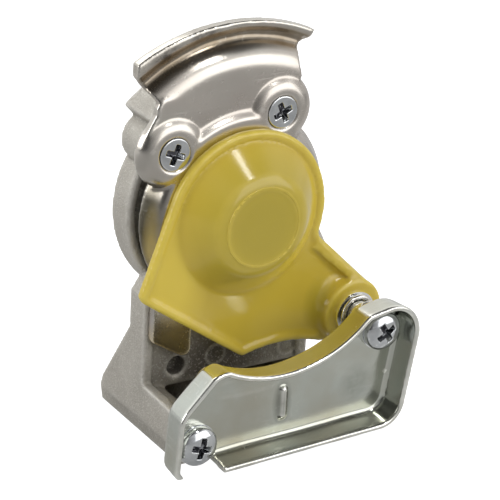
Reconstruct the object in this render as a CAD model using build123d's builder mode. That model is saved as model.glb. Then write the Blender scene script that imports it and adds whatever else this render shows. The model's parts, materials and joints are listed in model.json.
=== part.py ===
import os
from math import cos, pi, radians, sin

from build123d import *

# Palm type coupling head for a vehicle's air brake line, in millimetres.
# +Z is up, and the front, where the mating head comes, looks along -Y.
# The origin is the centre of the threaded port's mouth, at the bottom.
# Depths are measured backwards from the claw plate's pads, along the seal axis.

# Where the main features lie
seal_height = 66.5
pad_forward = 19.4

# Sheets and clearances
claw_sheet = 2.8
bracket_sheet = 2.0
running_gap = 0.08
thread_gap = 0.05
drill_past = 1.5
seat_gap = 0.05
overlap = 0.5
join_lap = 1.0
cover_gap = 0.3
screw_hole_gap = 0.3

# Housing: rim, collar and back
rim_radius = 31.8
rim_wall = 3.0
rim_front = 11.2
rim_back = 20.6
rim_bevel = 0.9
collar_radius = 25.8
groove_floor = 15.2
web_thickness = 3.2
hub_radius = 19.0
hub_back = 29.0
rib_count = 6
rib_thickness = 3.0

# Housing: crown behind the claw
crown_radius = 42.4
crown_wall = 3.0
crown_pocket_margin = 5.0
crown_pocket_front = 9.5
crown_pocket_step = 1.2
crown_start = 73.0
crown_end = 133.5

# Housing: neck, walls and port
neck_half_width = 28.6
neck_wall = 3.2
neck_front = 4.6
neck_top = 23.0
neck_shoulder = 5.0
neck_back = 13.4
slope_top = -35.0
slope_foot = -57.5
heel_back = 28.4
foot_back = 30.0
foot_band = 4.5
column_radius = 7.4
port_boss_radius = 13.4
port_boss_height = 22.0
port_thread_radius = 10.2
port_thread_length = 14.0
duct_radius = 4.4
column_top = 15.0
duct_top = 10.8
floor_thickness = 4.0
back_wall = 3.4
slab_front = 6.0
slab_foot = -53.5
slab_hole_at = (-16.4, -47.6)
slab_hole_radius = 3.0
slab_hole_depth = 5.0
room_back = 21.4
pin_mark_radius = 3.4
pin_mark_ridge = 0.5
pin_marks_at = ((-3.4, -46.3), (22.0, -48.4))

# Seal and valve bores
pocket_radius = 19.2
pocket_floor = 7.0
chamber_radius = 13.8
chamber_back = 25.5

# Claw plate
plate_opening = 20.9
annulus_radius = 26.6
annulus_lap = 0.9
bridge_width = 2.6
panel_depth = 1.6
panel_step = 1.5
claw_bend_at = (46.6, 1.6)
lip_bend_at = (51.2, 6.4)
claw_hollow_at = (50.1, 9.2)
claw_bend = 2.8
lip_bend = 1.2
bend_setback = 1.0
lip_depth = 6.4
lip_reach = 61.0
lip_radius = 63.1
lip_centre = (-0.9, -7.3)
lip_left_end = -33.2
lip_left_foot = 41.0
lip_from = 64.5
lip_to = 127.5
skirt_overhang = 4.4
skirt_depth = 7.2
skirt_bend = 1.8
skirt_bend_depth = 1.4
skirt_from = 142.0
skirt_to = 414.0
skirt_gap = 0.4
panel_shoulder = ((-16.0, 27.0), (-16.0, 38.0), (-27.2, 37.6), (-28.7, 35.2), (-28.8, 33.2), (-32.0, 28.0))
claw_right_side = (
    (24.8, 48.6),
    (20.6, 47.4),
    (18.0, 45.6),
    (17.5, 42.2),
    (19.0, 36.6),
    (21.4, 31.2),
    (40.0, 31.2),
    (40.0, 48.6),
)
pad_top_radius = 9.3
pad_slope = 13.0
pad_hollow_radius = 7.9
pad_hollow_depth = 6.0
tab_left = -27.6
tab_right = -14.4
tab_front = 1.8
tab_low_left = -36.0
tab_low_right = -44.2
tab_root_left = -10.0
tab_root_right = -22.0
tab_corner = 2.2

# Cross recesses: the point's width as a share of the blade's
recess_point = 0.7
claw_recess = (2.7, 0.9, 2.0)
pan_recess = (3.1, 1.1, 2.4)

# Claw screws, countersunk
claw_screw_left_at = (-23.4, 21.5)
claw_screw_right_at = (11.4, 29.2)
claw_head_radius = 4.9
claw_shank_radius = 2.5
claw_screw_length = 14.0
claw_head_sink = 0.2
claw_head_rim = 0.1
screw_point = 0.7
claw_boss_tip_radius = 7.2
claw_boss_radius = 7.4
claw_boss_step = 6.6
claw_boss_back = 18.4

# Guide bracket
slot_width = 16.6
tray_height = 9.8
wall_flare = 5.0
wall_thickness = 1.8
guide_radius = 39.9
tray_bend = 2.4
brow_angle = 238.1
brow_rise = 2.6
bracket_shoulder = (-32.8, -46.6)
bracket_toe = (-34.0, -66.4)
bracket_heel = (42.2, -64.4)
lobe_angle = 333.4
lobe_rise = 14.0
cusp_angle = 310.2
cusp_inset = 2.7
arc_inset = 9.9
brow_round = 2.4
shoulder_round = 7.0
toe_round = 3.4
heel_round = 7.6
lobe_round = 9.2
cusp_round = 6.0
lower_opening = (-31.6, -18.4)
stiffener_at = (5.0, -52.6)
stiffener_length = 10.5
stiffener_width = 3.6
stiffener_depth = 1.0
stiffener_taper = 35.0
stiffener_hollow_taper = 20.0
lower_edge = -62.6
left_wall_end = -65.4
web_corner_end = -64.4
web_corner_steps = (1.2, 4.0)
lower_run = -70.5
left_run = -37.0

# Pivot and bracket screws
pivot_rise = 11.2
pivot_angle = 316.5
corner_at = (-24.5, -58.9)
pan_head_radius = 6.0
pan_head_height = 3.8
pan_rim_height = 1.4
pan_shank_radius = 3.0
washer_radius = 6.2
washer_thickness = 1.4
washer_split = 1.2
sleeve_radius = 4.4
pivot_boss_radius = 8.2
pivot_boss_length = 15.0
pivot_thread_depth = 13.0
corner_boss_radius = 6.4
corner_boss_back = 7.0
corner_thread_depth = 13.0
arm_top = -51.5
arm_fall = 1.0
ear_top = (4.6, 5.6)
ear_low = (3.0, -6.4)
ear_low_root = -7.0
ear_root_angle = -14.0
ear_step = 3.5

# Cover
flange_radius = 26.2
cover_plate = 1.9
cover_rim_height = 1.0
cover_rim_width = 2.2
left_corner_at = (-31.7, -18.8)
left_corner_radius = 2.6
tip_at = (0.9, -43.4)
tip_radius = 0.9
arm_core_radius = 10.0
arm_root_at = (24.3, -9.4)
tail_arc_radius = 45.0
tail_arc_at = (13.5, -42.4)
arm_blend = 3.0
dome_base_radius = 23.4
dome_height = 10.8
dome_top_radius = 14.2
dome_round = 6.0
dome_wall = 2.0
dome_ring_radius = 11.8
dome_ring_width = 0.7
dome_ring_height = 0.25
cover_boss_radius = 10.0
cover_boss_height = 6.2

# Cover spring
spring_washer_radius = 6.6
spring_washer_thickness = 0.8
cover_spring_radius = 5.3
cover_wire = 1.4
cover_spring_turns = 2.25

# Seal, seat and valve
seal_face = 0.3
seal_lip_radius = 19.0
seal_neck_radius = 17.4
seal_bore_radius = 11.0
seal_flange = 2.6
seal_lip = 2.4
seal_bevel = 0.9
seat_thickness = 3.2
seat_bore_radius = 7.6
seat_bevel = 0.6
seat_land = 0.45
snap_shoulder = 1.0
snap_groove_radius = 15.0
snap_thickness = 1.2
snap_inner_radius = 12.2
snap_gap_width = 6.0
oring_radius = 0.9
oring_land = 0.7
plunger_radius = 11.2
plunger_disc = 3.2
plunger_bevel = 0.6
stem_radius = 7.4
stem_core_radius = 2.6
stem_fin = 1.6
stem_fin_count = 4
stem_fin_step = 1.2
stem_tip = 1.0
facing_thickness = 1.4
facing_inner_radius = 7.9
facing_outer_radius = 10.4
plunger_tail_radius = 4.6
plunger_tail = 2.4
valve_wire = 1.1
valve_spring_radius = 6.4
valve_spring_turns = 3.0


def polar(radius, angle):
    """Point at a distance from the seal axis and an angle in degrees from the right."""
    return (radius * cos(radians(angle)), radius * sin(radians(angle)))


# Places worked out from the sizes above
ear_root_radius = rim_radius - rim_wall / 2
ear_root = polar(ear_root_radius, ear_root_angle)
bridge_radius = annulus_radius + bridge_width
skirt_radius = annulus_radius + skirt_overhang
bracket_brow = polar(guide_radius + brow_rise, brow_angle)
bracket_lobe = polar(guide_radius + lobe_rise, lobe_angle)
bracket_cusp = polar(guide_radius - cusp_inset, cusp_angle)
bracket_corners = (
    bracket_brow,
    bracket_shoulder,
    bracket_toe,
    bracket_heel,
    bracket_lobe,
    bracket_cusp,
    (0.0, -(guide_radius - arc_inset)),
)
bracket_rounds = (
    (bracket_brow, brow_round),
    (bracket_shoulder, shoulder_round),
    (bracket_toe, toe_round),
    (bracket_heel, heel_round),
    (bracket_lobe, lobe_round),
    (bracket_cusp, cusp_round),
)
pivot_at = polar(guide_radius + pivot_rise, pivot_angle)
countersink_radius = claw_head_radius + claw_head_sink + claw_head_rim
hollow_top_radius = dome_top_radius - dome_wall / 2
hollow_top = -dome_height + dome_wall
web_back = -slot_width
web_front = web_back - bracket_sheet
back_web = groove_floor + web_thickness
bracket_head_seat = web_front - washer_thickness
cover_back = -cover_gap
cover_floor = cover_back - cover_plate
port_z = -seal_height
snap_front = pocket_floor + snap_shoulder
seat_front = snap_front + snap_thickness + 2 * seat_gap
facing_front = seat_front + seat_thickness + seat_gap
plunger_front = facing_front + facing_thickness
plunger_back = plunger_front + plunger_disc
spring_seat_height = cover_boss_height + cover_gap
spring_foot_height = spring_seat_height + spring_washer_thickness


def front(depth):
    """Plane square to the seal axis at a depth behind the pads; x is right and y is up."""
    return Plane(origin=(0, depth - pad_forward, seal_height), x_dir=(1, 0, 0), z_dir=(0, -1, 0))


def section(angle=0.0):
    """Half plane through the seal axis; x is the radius and y is the depth behind the pads."""
    turn = radians(angle)
    return Plane(
        origin=(0, -pad_forward, seal_height),
        x_dir=(cos(turn), 0, sin(turn)),
        z_dir=(-sin(turn), 0, cos(turn)),
    )


def side(offset):
    """Plane square to X; x is the depth behind the pads and y is the height above the seal axis."""
    return Plane(origin=(offset, -pad_forward, seal_height), x_dir=(0, 1, 0), z_dir=(1, 0, 0))


seal_axis = Axis(origin=(0, -pad_forward, seal_height), direction=(0, -1, 0))


def cross_recess(radius, blade, depth):
    """Cutter for a cross-head drive, its mouth at the origin and its point along -Z."""
    with BuildPart() as cutter:
        with BuildSketch(Plane.XY.offset(-depth)):
            Rectangle(2 * radius, blade)
            Rectangle(blade, 2 * radius)
        extrude(amount=2 * depth)
        with BuildSketch(Plane.XZ):
            with BuildLine():
                Polyline(
                    (0, -depth),
                    (recess_point * blade, -depth),
                    (radius, 0),
                    (radius, depth),
                    (0, depth),
                    close=True,
                )
            make_face()
        revolve(axis=Axis.Z, mode=Mode.INTERSECT)
    return cutter.part


# Housing, one aluminium casting
with BuildPart() as housing:
    # Neck: a channel that widens backwards as it goes down, open to the front
    with BuildSketch(side(-neck_half_width)):
        with BuildLine():
            Polyline(
                (neck_front, -neck_top),
                (neck_back, -neck_top),
                (neck_back, slope_top),
                (heel_back, slope_foot),
                (foot_back, port_z + foot_band),
                (foot_back, port_z),
                (neck_front, port_z),
                close=True,
            )
        make_face()
    extrude(amount=2 * neck_half_width)
    with BuildSketch(side(-neck_half_width + neck_wall)):
        with BuildLine():
            Polyline(
                (neck_front - join_lap, -rim_radius + rim_wall),
                (slab_front, -rim_radius + rim_wall),
                (slab_front, slab_foot),
                (room_back, slab_foot),
                (heel_back - back_wall, slope_foot - join_lap),
                (foot_back - back_wall, port_z + floor_thickness),
                (neck_front - join_lap, port_z + floor_thickness),
                close=True,
            )
        make_face()
    extrude(amount=2 * (neck_half_width - neck_wall), mode=Mode.SUBTRACT)
    # Shoulders from the rim down to the neck's walls
    for hand in (-1, 1):
        with BuildSketch(front(neck_back)):
            with BuildLine():
                Polyline(
                    (hand * neck_half_width, -neck_top - overlap),
                    (hand * (neck_half_width - neck_wall), -neck_top + neck_shoulder),
                    (hand * (neck_half_width - 3 * neck_wall), -neck_top + neck_shoulder),
                    (hand * (neck_half_width - 3 * neck_wall), -neck_top - overlap),
                    close=True,
                )
            make_face()
        extrude(amount=neck_back - neck_front)
    # Round casting marks and a hole in the recess's floor
    with BuildSketch(front(slab_front)):
        with Locations(*pin_marks_at):
            Circle(pin_mark_radius)
        with Locations(*pin_marks_at):
            Circle(pin_mark_radius - pin_mark_ridge, mode=Mode.SUBTRACT)
    extrude(amount=pin_mark_ridge)
    with BuildSketch(front(slab_front + slab_hole_depth)):
        with Locations(slab_hole_at):
            Circle(slab_hole_radius)
    extrude(amount=slab_hole_depth + join_lap, mode=Mode.SUBTRACT)
    # Room for the claw plate's skirt
    with BuildSketch(front(skirt_depth + skirt_gap)):
        Circle(skirt_radius + skirt_gap)
    extrude(amount=skirt_depth + skirt_gap, mode=Mode.SUBTRACT)
    # Rim, groove, collar and hub, turned about the seal axis
    with BuildSketch(section()):
        with BuildLine():
            Polyline(
                (0, claw_sheet),
                (collar_radius, claw_sheet),
                (collar_radius, groove_floor),
                (rim_radius - rim_wall, groove_floor),
                (rim_radius - rim_wall, rim_front + rim_bevel),
                (rim_radius - rim_wall + rim_bevel, rim_front),
                (rim_radius - rim_bevel, rim_front),
                (rim_radius, rim_front + rim_bevel),
                (rim_radius, rim_back),
                (rim_radius - rim_wall, rim_back),
                (rim_radius - rim_wall, back_web),
                (hub_radius, back_web),
                (hub_radius, hub_back),
                (0, hub_back),
                close=True,
            )
        make_face()
    revolve(axis=seal_axis)
    # Ribs on the back, from the hub to the rim
    with BuildSketch(front(rim_back)):
        with PolarLocations((hub_radius + rim_radius - join_lap) / 2, rib_count, start_angle=30):
            Rectangle(rim_radius - hub_radius, rib_thickness)
    extrude(amount=rim_back - back_web)
    # Crown, the part of a ring that backs the claw's panel
    with BuildSketch(section(crown_start)):
        with BuildLine():
            Polyline(
                (collar_radius - join_lap, panel_depth + claw_sheet),
                (crown_radius, panel_depth + claw_sheet),
                (crown_radius, rim_back),
                (collar_radius - join_lap, rim_back),
                close=True,
            )
        make_face()
    revolve(axis=seal_axis, revolution_arc=crown_end - crown_start)
    # Bosses under the claw screws
    for place in (claw_screw_left_at, claw_screw_right_at):
        with BuildSketch(front(claw_boss_step)):
            with Locations(place):
                Circle(claw_boss_tip_radius)
        extrude(amount=claw_boss_step - claw_sheet)
        with BuildSketch(front(claw_boss_back)):
            with Locations(place):
                Circle(claw_boss_radius)
        extrude(amount=claw_boss_back - claw_boss_step)
    # Pocket in the back of the crown
    with BuildSketch(section(crown_start + crown_pocket_margin)):
        with BuildLine():
            Polyline(
                (rim_radius + crown_pocket_step, crown_pocket_front),
                (crown_radius - crown_wall, crown_pocket_front),
                (crown_radius - crown_wall, rim_back),
                (rim_radius + crown_pocket_step, rim_back),
                close=True,
            )
        make_face()
    revolve(
        axis=seal_axis,
        revolution_arc=crown_end - crown_start - 2 * crown_pocket_margin,
        mode=Mode.SUBTRACT,
    )
    # Arm that carries the bracket's corner in front of the left wall
    with BuildSketch(side(-neck_half_width)):
        with BuildLine():
            Polyline(
                (neck_front, arm_top + arm_fall),
                (web_back, arm_top),
                (web_back, port_z),
                (neck_front + join_lap, port_z),
                (neck_front + join_lap, arm_top + arm_fall),
                close=True,
            )
        make_face()
    extrude(amount=neck_wall)
    with BuildSketch(Plane.XY):
        with BuildLine():
            Polyline(
                (-neck_half_width, -pad_forward + web_back),
                (corner_at[0] + corner_boss_radius, -pad_forward + web_back),
                (neck_half_width, -pad_forward + neck_front),
                (neck_half_width, 0),
                (-neck_half_width, 0),
                close=True,
            )
        make_face()
    extrude(amount=floor_thickness)
    with BuildSketch(front(corner_boss_back)):
        with Locations(corner_at):
            Circle(corner_boss_radius)
        with Locations((-neck_half_width, corner_at[1])):
            Rectangle(
                2 * corner_boss_radius,
                3 * corner_boss_radius,
                align=(Align.MAX, Align.CENTER),
                mode=Mode.SUBTRACT,
            )
    extrude(amount=corner_boss_back - web_back)
    # Port boss and the column that leads the air up to the valve chamber
    with BuildSketch(Plane.XY):
        Circle(port_boss_radius)
    extrude(amount=port_boss_height)
    with BuildSketch(Plane.XY):
        Circle(column_radius)
    extrude(amount=seal_height - column_top)
    # Ear behind the cover's pivot
    with BuildSketch(front(pivot_boss_length)):
        with Locations(pivot_at):
            Circle(pivot_boss_radius)
    extrude(amount=pivot_boss_length)
    with BuildSketch(front(pivot_boss_length)):
        with BuildLine():
            Polyline(
                ear_root,
                (pivot_at[0] + ear_top[0], pivot_at[1] + ear_top[1]),
                (pivot_at[0] + ear_low[0], pivot_at[1] + ear_low[1]),
                (neck_half_width - join_lap, pivot_at[1] + ear_low_root),
                (neck_half_width - join_lap, -neck_top),
                close=True,
            )
        make_face()
    extrude(amount=pivot_boss_length - rim_front + ear_step)
    # Bores: seal pocket, valve chamber, duct, port, screw holes
    with BuildSketch(section()):
        with BuildLine():
            Polyline(
                (0, 0),
                (pocket_radius, 0),
                (pocket_radius, pocket_floor),
                (chamber_radius, pocket_floor),
                (chamber_radius, chamber_back),
                (0, chamber_back),
                close=True,
            )
        make_face()
    revolve(axis=seal_axis, mode=Mode.SUBTRACT)
    with BuildSketch(front(seat_front)):
        Circle(snap_groove_radius)
    extrude(amount=seat_front - snap_front, mode=Mode.SUBTRACT)
    with BuildSketch(Plane.XY):
        Circle(duct_radius)
    extrude(amount=seal_height - duct_top, mode=Mode.SUBTRACT)
    with BuildSketch(Plane.XY):
        Circle(port_thread_radius)
    extrude(amount=port_thread_length, mode=Mode.SUBTRACT)
    for place in (claw_screw_left_at, claw_screw_right_at):
        with BuildSketch(front(claw_screw_length + drill_past)):
            with Locations(place):
                Circle(claw_shank_radius)
        extrude(amount=claw_screw_length, mode=Mode.SUBTRACT)
    with BuildSketch(front(pivot_thread_depth + drill_past)):
        with Locations(pivot_at):
            Circle(pan_shank_radius)
    extrude(amount=pivot_thread_depth + 2 * drill_past, mode=Mode.SUBTRACT)
    with BuildSketch(front(web_back + corner_thread_depth + drill_past)):
        with Locations(corner_at):
            Circle(pan_shank_radius)
    extrude(amount=corner_thread_depth + 2 * drill_past, mode=Mode.SUBTRACT)

housing.part.label = "housing"
os.makedirs("parts", exist_ok=True)
export_step(housing.part, "parts/housing.step")

# Claw plate, one stamping
with BuildPart() as claw_plate:
    # Annulus around the seal, and the skirt that turns back at its edge
    with BuildSketch(section(skirt_from)):
        with BuildLine():
            Polyline(
                (plate_opening, 0),
                (annulus_radius, 0),
                (annulus_radius + skirt_bend, skirt_bend_depth),
                (skirt_radius, skirt_depth),
                (skirt_radius - claw_sheet, skirt_depth),
                (collar_radius + seat_gap, claw_sheet),
                (plate_opening, claw_sheet),
                close=True,
            )
        make_face()
    revolve(axis=seal_axis, revolution_arc=skirt_to - skirt_from)
    with BuildSketch(section(skirt_to)):
        with BuildLine():
            Polyline(
                (plate_opening, 0),
                (annulus_radius + annulus_lap, 0),
                (annulus_radius + annulus_lap, claw_sheet),
                (plate_opening, claw_sheet),
                close=True,
            )
        make_face()
    revolve(axis=seal_axis, revolution_arc=360 + skirt_from - skirt_to)
    # Recessed panel, the bend backwards and the lip, turned about the seal axis
    with BuildSketch(section(lip_from)) as claw_profile:
        with BuildLine():
            Polyline(
                (annulus_radius, 0),
                (bridge_radius, 0),
                (bridge_radius + panel_step, panel_depth),
                claw_bend_at,
                lip_bend_at,
                (lip_reach, lip_depth),
                (lip_reach, lip_depth + claw_sheet),
                claw_hollow_at,
                (claw_bend_at[0] - bend_setback, panel_depth + claw_sheet),
                (bridge_radius + panel_step - bend_setback, panel_depth + claw_sheet),
                (bridge_radius - bend_setback, claw_sheet),
                (annulus_radius, claw_sheet),
                close=True,
            )
        make_face()
        for corner, rounding in (
            (claw_bend_at, claw_bend + claw_sheet / 2),
            (lip_bend_at, lip_bend),
            (claw_hollow_at, claw_bend),
        ):
            fillet(claw_profile.vertices().sort_by_distance(Vertex(*corner))[0], rounding)
    revolve(axis=seal_axis, revolution_arc=lip_to - lip_from)
    # Panel's left shoulder, between its edge and the left pad
    with BuildSketch(front(panel_depth + claw_sheet)):
        with BuildLine():
            Polyline(*panel_shoulder, claw_screw_left_at, close=True)
        make_face()
    extrude(amount=claw_sheet)
    # Pads that stand up around the screws
    for place in (claw_screw_left_at, claw_screw_right_at):
        with BuildSketch(front(0)):
            with Locations(place):
                Circle(pad_top_radius)
        extrude(amount=-(panel_depth + claw_sheet), taper=-pad_slope)
    # Tab that reaches down over the neck's left wall
    with BuildSketch(front(tab_front + claw_sheet)) as tab:
        with BuildLine():
            Polyline(
                (tab_left, tab_root_left),
                (tab_left, tab_low_left),
                (tab_right, tab_low_right),
                (tab_right, tab_root_right),
                close=True,
            )
        make_face()
        fillet(tab.vertices().sort_by(Axis.Y)[:2], tab_corner)
    extrude(amount=claw_sheet)
    # The lip's edge, flatter than the plate's other arcs, and its straight left end
    with BuildSketch(front(lip_depth + claw_sheet)):
        Circle(2 * lip_reach)
        with Locations(lip_centre):
            Circle(lip_radius, mode=Mode.SUBTRACT)
        with Locations((lip_left_end, lip_left_foot)):
            Rectangle(lip_reach, lip_reach, align=(Align.MAX, Align.MIN))
    extrude(amount=lip_depth + claw_sheet, mode=Mode.SUBTRACT)
    # Side of the claw on the right
    with BuildSketch(front(2 * lip_depth)):
        with BuildLine():
            Polyline(*claw_right_side, close=True)
        make_face()
    extrude(amount=3 * lip_depth, mode=Mode.SUBTRACT)
    # Hollows under the pads, then the countersunk holes
    with BuildSketch(front(claw_sheet + pad_hollow_depth)):
        Circle(collar_radius + seat_gap)
    extrude(amount=pad_hollow_depth, mode=Mode.SUBTRACT)
    for place in (claw_screw_left_at, claw_screw_right_at):
        with BuildSketch(front(claw_sheet)):
            with Locations(place):
                Circle(pad_hollow_radius)
        extrude(amount=-pad_hollow_depth, mode=Mode.SUBTRACT)
        with BuildSketch(front(claw_sheet)):
            with Locations(place):
                Circle(claw_shank_radius + screw_hole_gap)
        extrude(amount=claw_sheet, mode=Mode.SUBTRACT)
        with BuildSketch(front(0)):
            with Locations(place):
                Circle(countersink_radius)
        extrude(amount=claw_shank_radius - countersink_radius, taper=45, mode=Mode.SUBTRACT)

claw_plate.part.label = "claw_plate"
export_step(claw_plate.part, "parts/claw_plate.step")

# Claw screws, countersunk and flush with the pads
for side_name, place in (("left", claw_screw_left_at), ("right", claw_screw_right_at)):
    with BuildPart() as claw_screw:
        with BuildSketch(Plane.XZ):
            with BuildLine():
                head_top = ThreePointArc(
                    (0, 0),
                    (claw_head_radius * 0.55, -claw_head_sink * 0.5),
                    (claw_head_radius, -claw_head_sink),
                )
                Polyline(
                    head_top @ 1,
                    (claw_head_radius, -claw_head_sink - claw_head_rim),
                    (claw_shank_radius, claw_shank_radius - countersink_radius),
                    (claw_shank_radius - thread_gap, -claw_sheet - claw_head_rim),
                    (claw_shank_radius - thread_gap, -claw_screw_length + screw_point),
                    (claw_shank_radius - screw_point, -claw_screw_length),
                    (0, -claw_screw_length),
                    (0, 0),
                )
            make_face()
        revolve(axis=Axis.Z)
        add(cross_recess(*claw_recess), mode=Mode.SUBTRACT)
    screw = front(0).location * Pos(place[0], place[1], 0) * claw_screw.part
    screw.label = "claw_screw_" + side_name
    export_step(screw, "parts/claw_screw_" + side_name + ".step")

# Guide bracket, a tray pressed from one sheet
with BuildPart() as guide_bracket:
    with BuildSketch(front(web_back)) as tray:
        with BuildLine():
            Polyline(*bracket_corners, close=True)
        make_face()
        Circle(guide_radius, mode=Mode.SUBTRACT)
        for place, rounding in bracket_rounds:
            fillet(tray.vertices().sort_by_distance(Vertex(*place))[0], rounding)
    extrude(amount=tray_height, taper=-wall_flare)
    outer_bend = guide_bracket.faces().sort_by(Axis.Y)[-1].edges()
    fillet(outer_bend, tray_bend)
    with BuildSketch(front(web_front)):
        add(offset(tray.sketch_local, amount=-wall_thickness, mode=Mode.PRIVATE))
    extrude(amount=tray_height, taper=-wall_flare, mode=Mode.SUBTRACT)

    # Open corner beside the corner screw, and the curled end of the left wall
    with BuildSketch(front(web_front)):
        with BuildLine():
            Polyline(
                (lower_opening[0], lower_edge),
                (lower_opening[1], lower_edge),
                (lower_opening[1], lower_run),
                (left_run, lower_run),
                (left_run, left_wall_end),
                (lower_opening[0], left_wall_end),
                close=True,
            )
        make_face()
    extrude(amount=tray_height, mode=Mode.SUBTRACT)
    with BuildSketch(front(web_back)):
        with BuildLine():
            Polyline(
                (left_run, left_wall_end),
                (lower_opening[0] + web_corner_steps[0], left_wall_end),
                (lower_opening[0] + web_corner_steps[1], web_corner_end),
                (lower_opening[1], web_corner_end),
                (lower_opening[1], lower_run),
                (left_run, lower_run),
                close=True,
            )
        make_face()
    extrude(amount=bracket_sheet, mode=Mode.SUBTRACT)
    # Stiffener pressed into the web, hollow behind
    with BuildSketch(front(web_front)):
        with Locations(stiffener_at):
            SlotOverall(stiffener_length, stiffener_width, rotation=90)
    extrude(amount=stiffener_depth, taper=stiffener_taper)
    with BuildSketch(front(web_back)):
        with Locations(stiffener_at):
            SlotOverall(stiffener_length - stiffener_depth, stiffener_width - stiffener_depth, rotation=90)
    extrude(amount=stiffener_depth, taper=stiffener_hollow_taper, mode=Mode.SUBTRACT)
    # Holes for its two screws
    with BuildSketch(front(web_back)):
        with Locations(pivot_at, corner_at):
            Circle(pan_shank_radius + screw_hole_gap)
    extrude(amount=bracket_sheet + stiffener_depth, mode=Mode.SUBTRACT)

guide_bracket.part.label = "guide_bracket"
export_step(guide_bracket.part, "parts/guide_bracket.step")

# Bracket screws, lock washers and the pivot's sleeve
screw_lengths = {
    "bracket_screw_corner": (corner_at, bracket_head_seat, web_back + corner_thread_depth),
    "bracket_screw_pivot": (pivot_at, bracket_head_seat, pivot_thread_depth),
}
for screw_name, (place, seat, screw_end) in screw_lengths.items():
    with BuildPart() as pan_screw:
        with BuildSketch(Plane.XZ):
            with BuildLine():
                dome = ThreePointArc(
                    (0, pan_head_height),
                    (pan_head_radius * 0.62, pan_head_height * 0.86),
                    (pan_head_radius, pan_rim_height),
                )
                Polyline(
                    dome @ 1,
                    (pan_head_radius, 0),
                    (pan_shank_radius - thread_gap, 0),
                    (pan_shank_radius - thread_gap, seat - screw_end + screw_point),
                    (pan_shank_radius - screw_point, seat - screw_end),
                    (0, seat - screw_end),
                    (0, pan_head_height),
                )
            make_face()
        revolve(axis=Axis.Z)
        add(Pos(0, 0, pan_head_height) * cross_recess(*pan_recess), mode=Mode.SUBTRACT)
    screw = front(seat).location * Pos(place[0], place[1], 0) * pan_screw.part
    screw.label = screw_name
    export_step(screw, "parts/" + screw_name + ".step")

washer_places = (("corner_washer", corner_at, 200), ("pivot_washer", pivot_at, 20))
for washer_name, place, split_angle in washer_places:
    with BuildPart() as lock_washer:
        with BuildSketch(front(web_front)):
            with Locations(place):
                Circle(washer_radius)
                Circle(pan_shank_radius + seat_gap, mode=Mode.SUBTRACT)
        extrude(amount=washer_thickness)
        with BuildSketch(front(web_front)):
            with Locations(Pos(place[0], place[1]) * Rot(0, 0, split_angle)):
                with Locations((washer_radius, 0)):
                    Rectangle(2 * washer_radius, washer_split)
        extrude(amount=washer_thickness, mode=Mode.SUBTRACT)
    lock_washer.part.label = washer_name
    export_step(lock_washer.part, "parts/" + washer_name + ".step")

with BuildPart() as pivot_sleeve:
    with BuildSketch(front(0)):
        with Locations(pivot_at):
            Circle(sleeve_radius)
            Circle(pan_shank_radius + seat_gap, mode=Mode.SUBTRACT)
    extrude(amount=slot_width)

pivot_sleeve.part.label = "pivot_sleeve"
export_step(pivot_sleeve.part, "parts/pivot_sleeve.step")

# Swivel cover, one plastic moulding; its arm runs straight from the dome to the pivot
with BuildSketch(front(cover_back)) as cover_arm:
    Circle(arm_core_radius)
    with Locations(tip_at):
        Circle(tip_radius)
    with Locations(pivot_at):
        Circle(cover_boss_radius)
    make_hull()

with BuildPart() as cover:
    with BuildSketch(front(cover_back)) as cover_outline:
        Circle(flange_radius)
        with Locations(left_corner_at):
            Circle(left_corner_radius)
        with Locations(tip_at):
            Circle(tip_radius)
        make_hull()
        add(cover_arm.sketch_local)
        with Locations((tail_arc_at[0], tail_arc_at[1] - tail_arc_radius)):
            Circle(tail_arc_radius, mode=Mode.SUBTRACT)
        fillet(cover_outline.vertices().sort_by_distance(Vertex(*arm_root_at))[0], arm_blend)
    extrude(amount=cover_plate)
    # Raised rim all around
    with BuildSketch(front(cover_floor)):
        add(cover_outline.sketch_local)
        offset(cover_outline.sketch_local, amount=-cover_rim_width, mode=Mode.SUBTRACT)
    extrude(amount=cover_rim_height)
    # Dome over the seal
    with BuildSketch(section()) as dome_section:
        with BuildLine():
            Polyline(
                (0, cover_back),
                (dome_base_radius, cover_back),
                (dome_base_radius, cover_floor),
                (dome_top_radius, -dome_height),
                (0, -dome_height),
                close=True,
            )
        make_face()
        fillet(dome_section.vertices().sort_by_distance(Vertex(dome_top_radius, -dome_height))[0], dome_round)
    revolve(axis=seal_axis)
    # Pivot boss
    with BuildSketch(front(cover_back)):
        with Locations(pivot_at):
            Circle(cover_boss_radius)
    extrude(amount=cover_boss_height)
    # Hollow under the dome
    with BuildSketch(section()) as hollow_section:
        with BuildLine():
            Polyline(
                (0, cover_back),
                (dome_base_radius - dome_wall, cover_back),
                (dome_base_radius - dome_wall, cover_floor + dome_wall / 2),
                (hollow_top_radius, hollow_top),
                (0, hollow_top),
                close=True,
            )
        make_face()
        fillet(
            hollow_section.vertices().sort_by_distance(Vertex(hollow_top_radius, hollow_top))[0],
            dome_round - dome_wall,
        )
    revolve(axis=seal_axis, mode=Mode.SUBTRACT)
    # Fine raised ring on the dome's flat top
    with BuildSketch(front(-dome_height)):
        Circle(dome_ring_radius)
        Circle(dome_ring_radius - dome_ring_width, mode=Mode.SUBTRACT)
    extrude(amount=dome_ring_height)
    # Bore that turns on the sleeve
    with BuildSketch(front(cover_back)):
        with Locations(pivot_at):
            Circle(sleeve_radius + running_gap)
    extrude(amount=cover_boss_height, mode=Mode.SUBTRACT)

cover.part.label = "cover"
export_step(cover.part, "parts/cover.step")

# Springs: the wire's centre line rises slowly at both ends, quickly between them
dead_turn = 0.75
points_per_turn = 12


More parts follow.
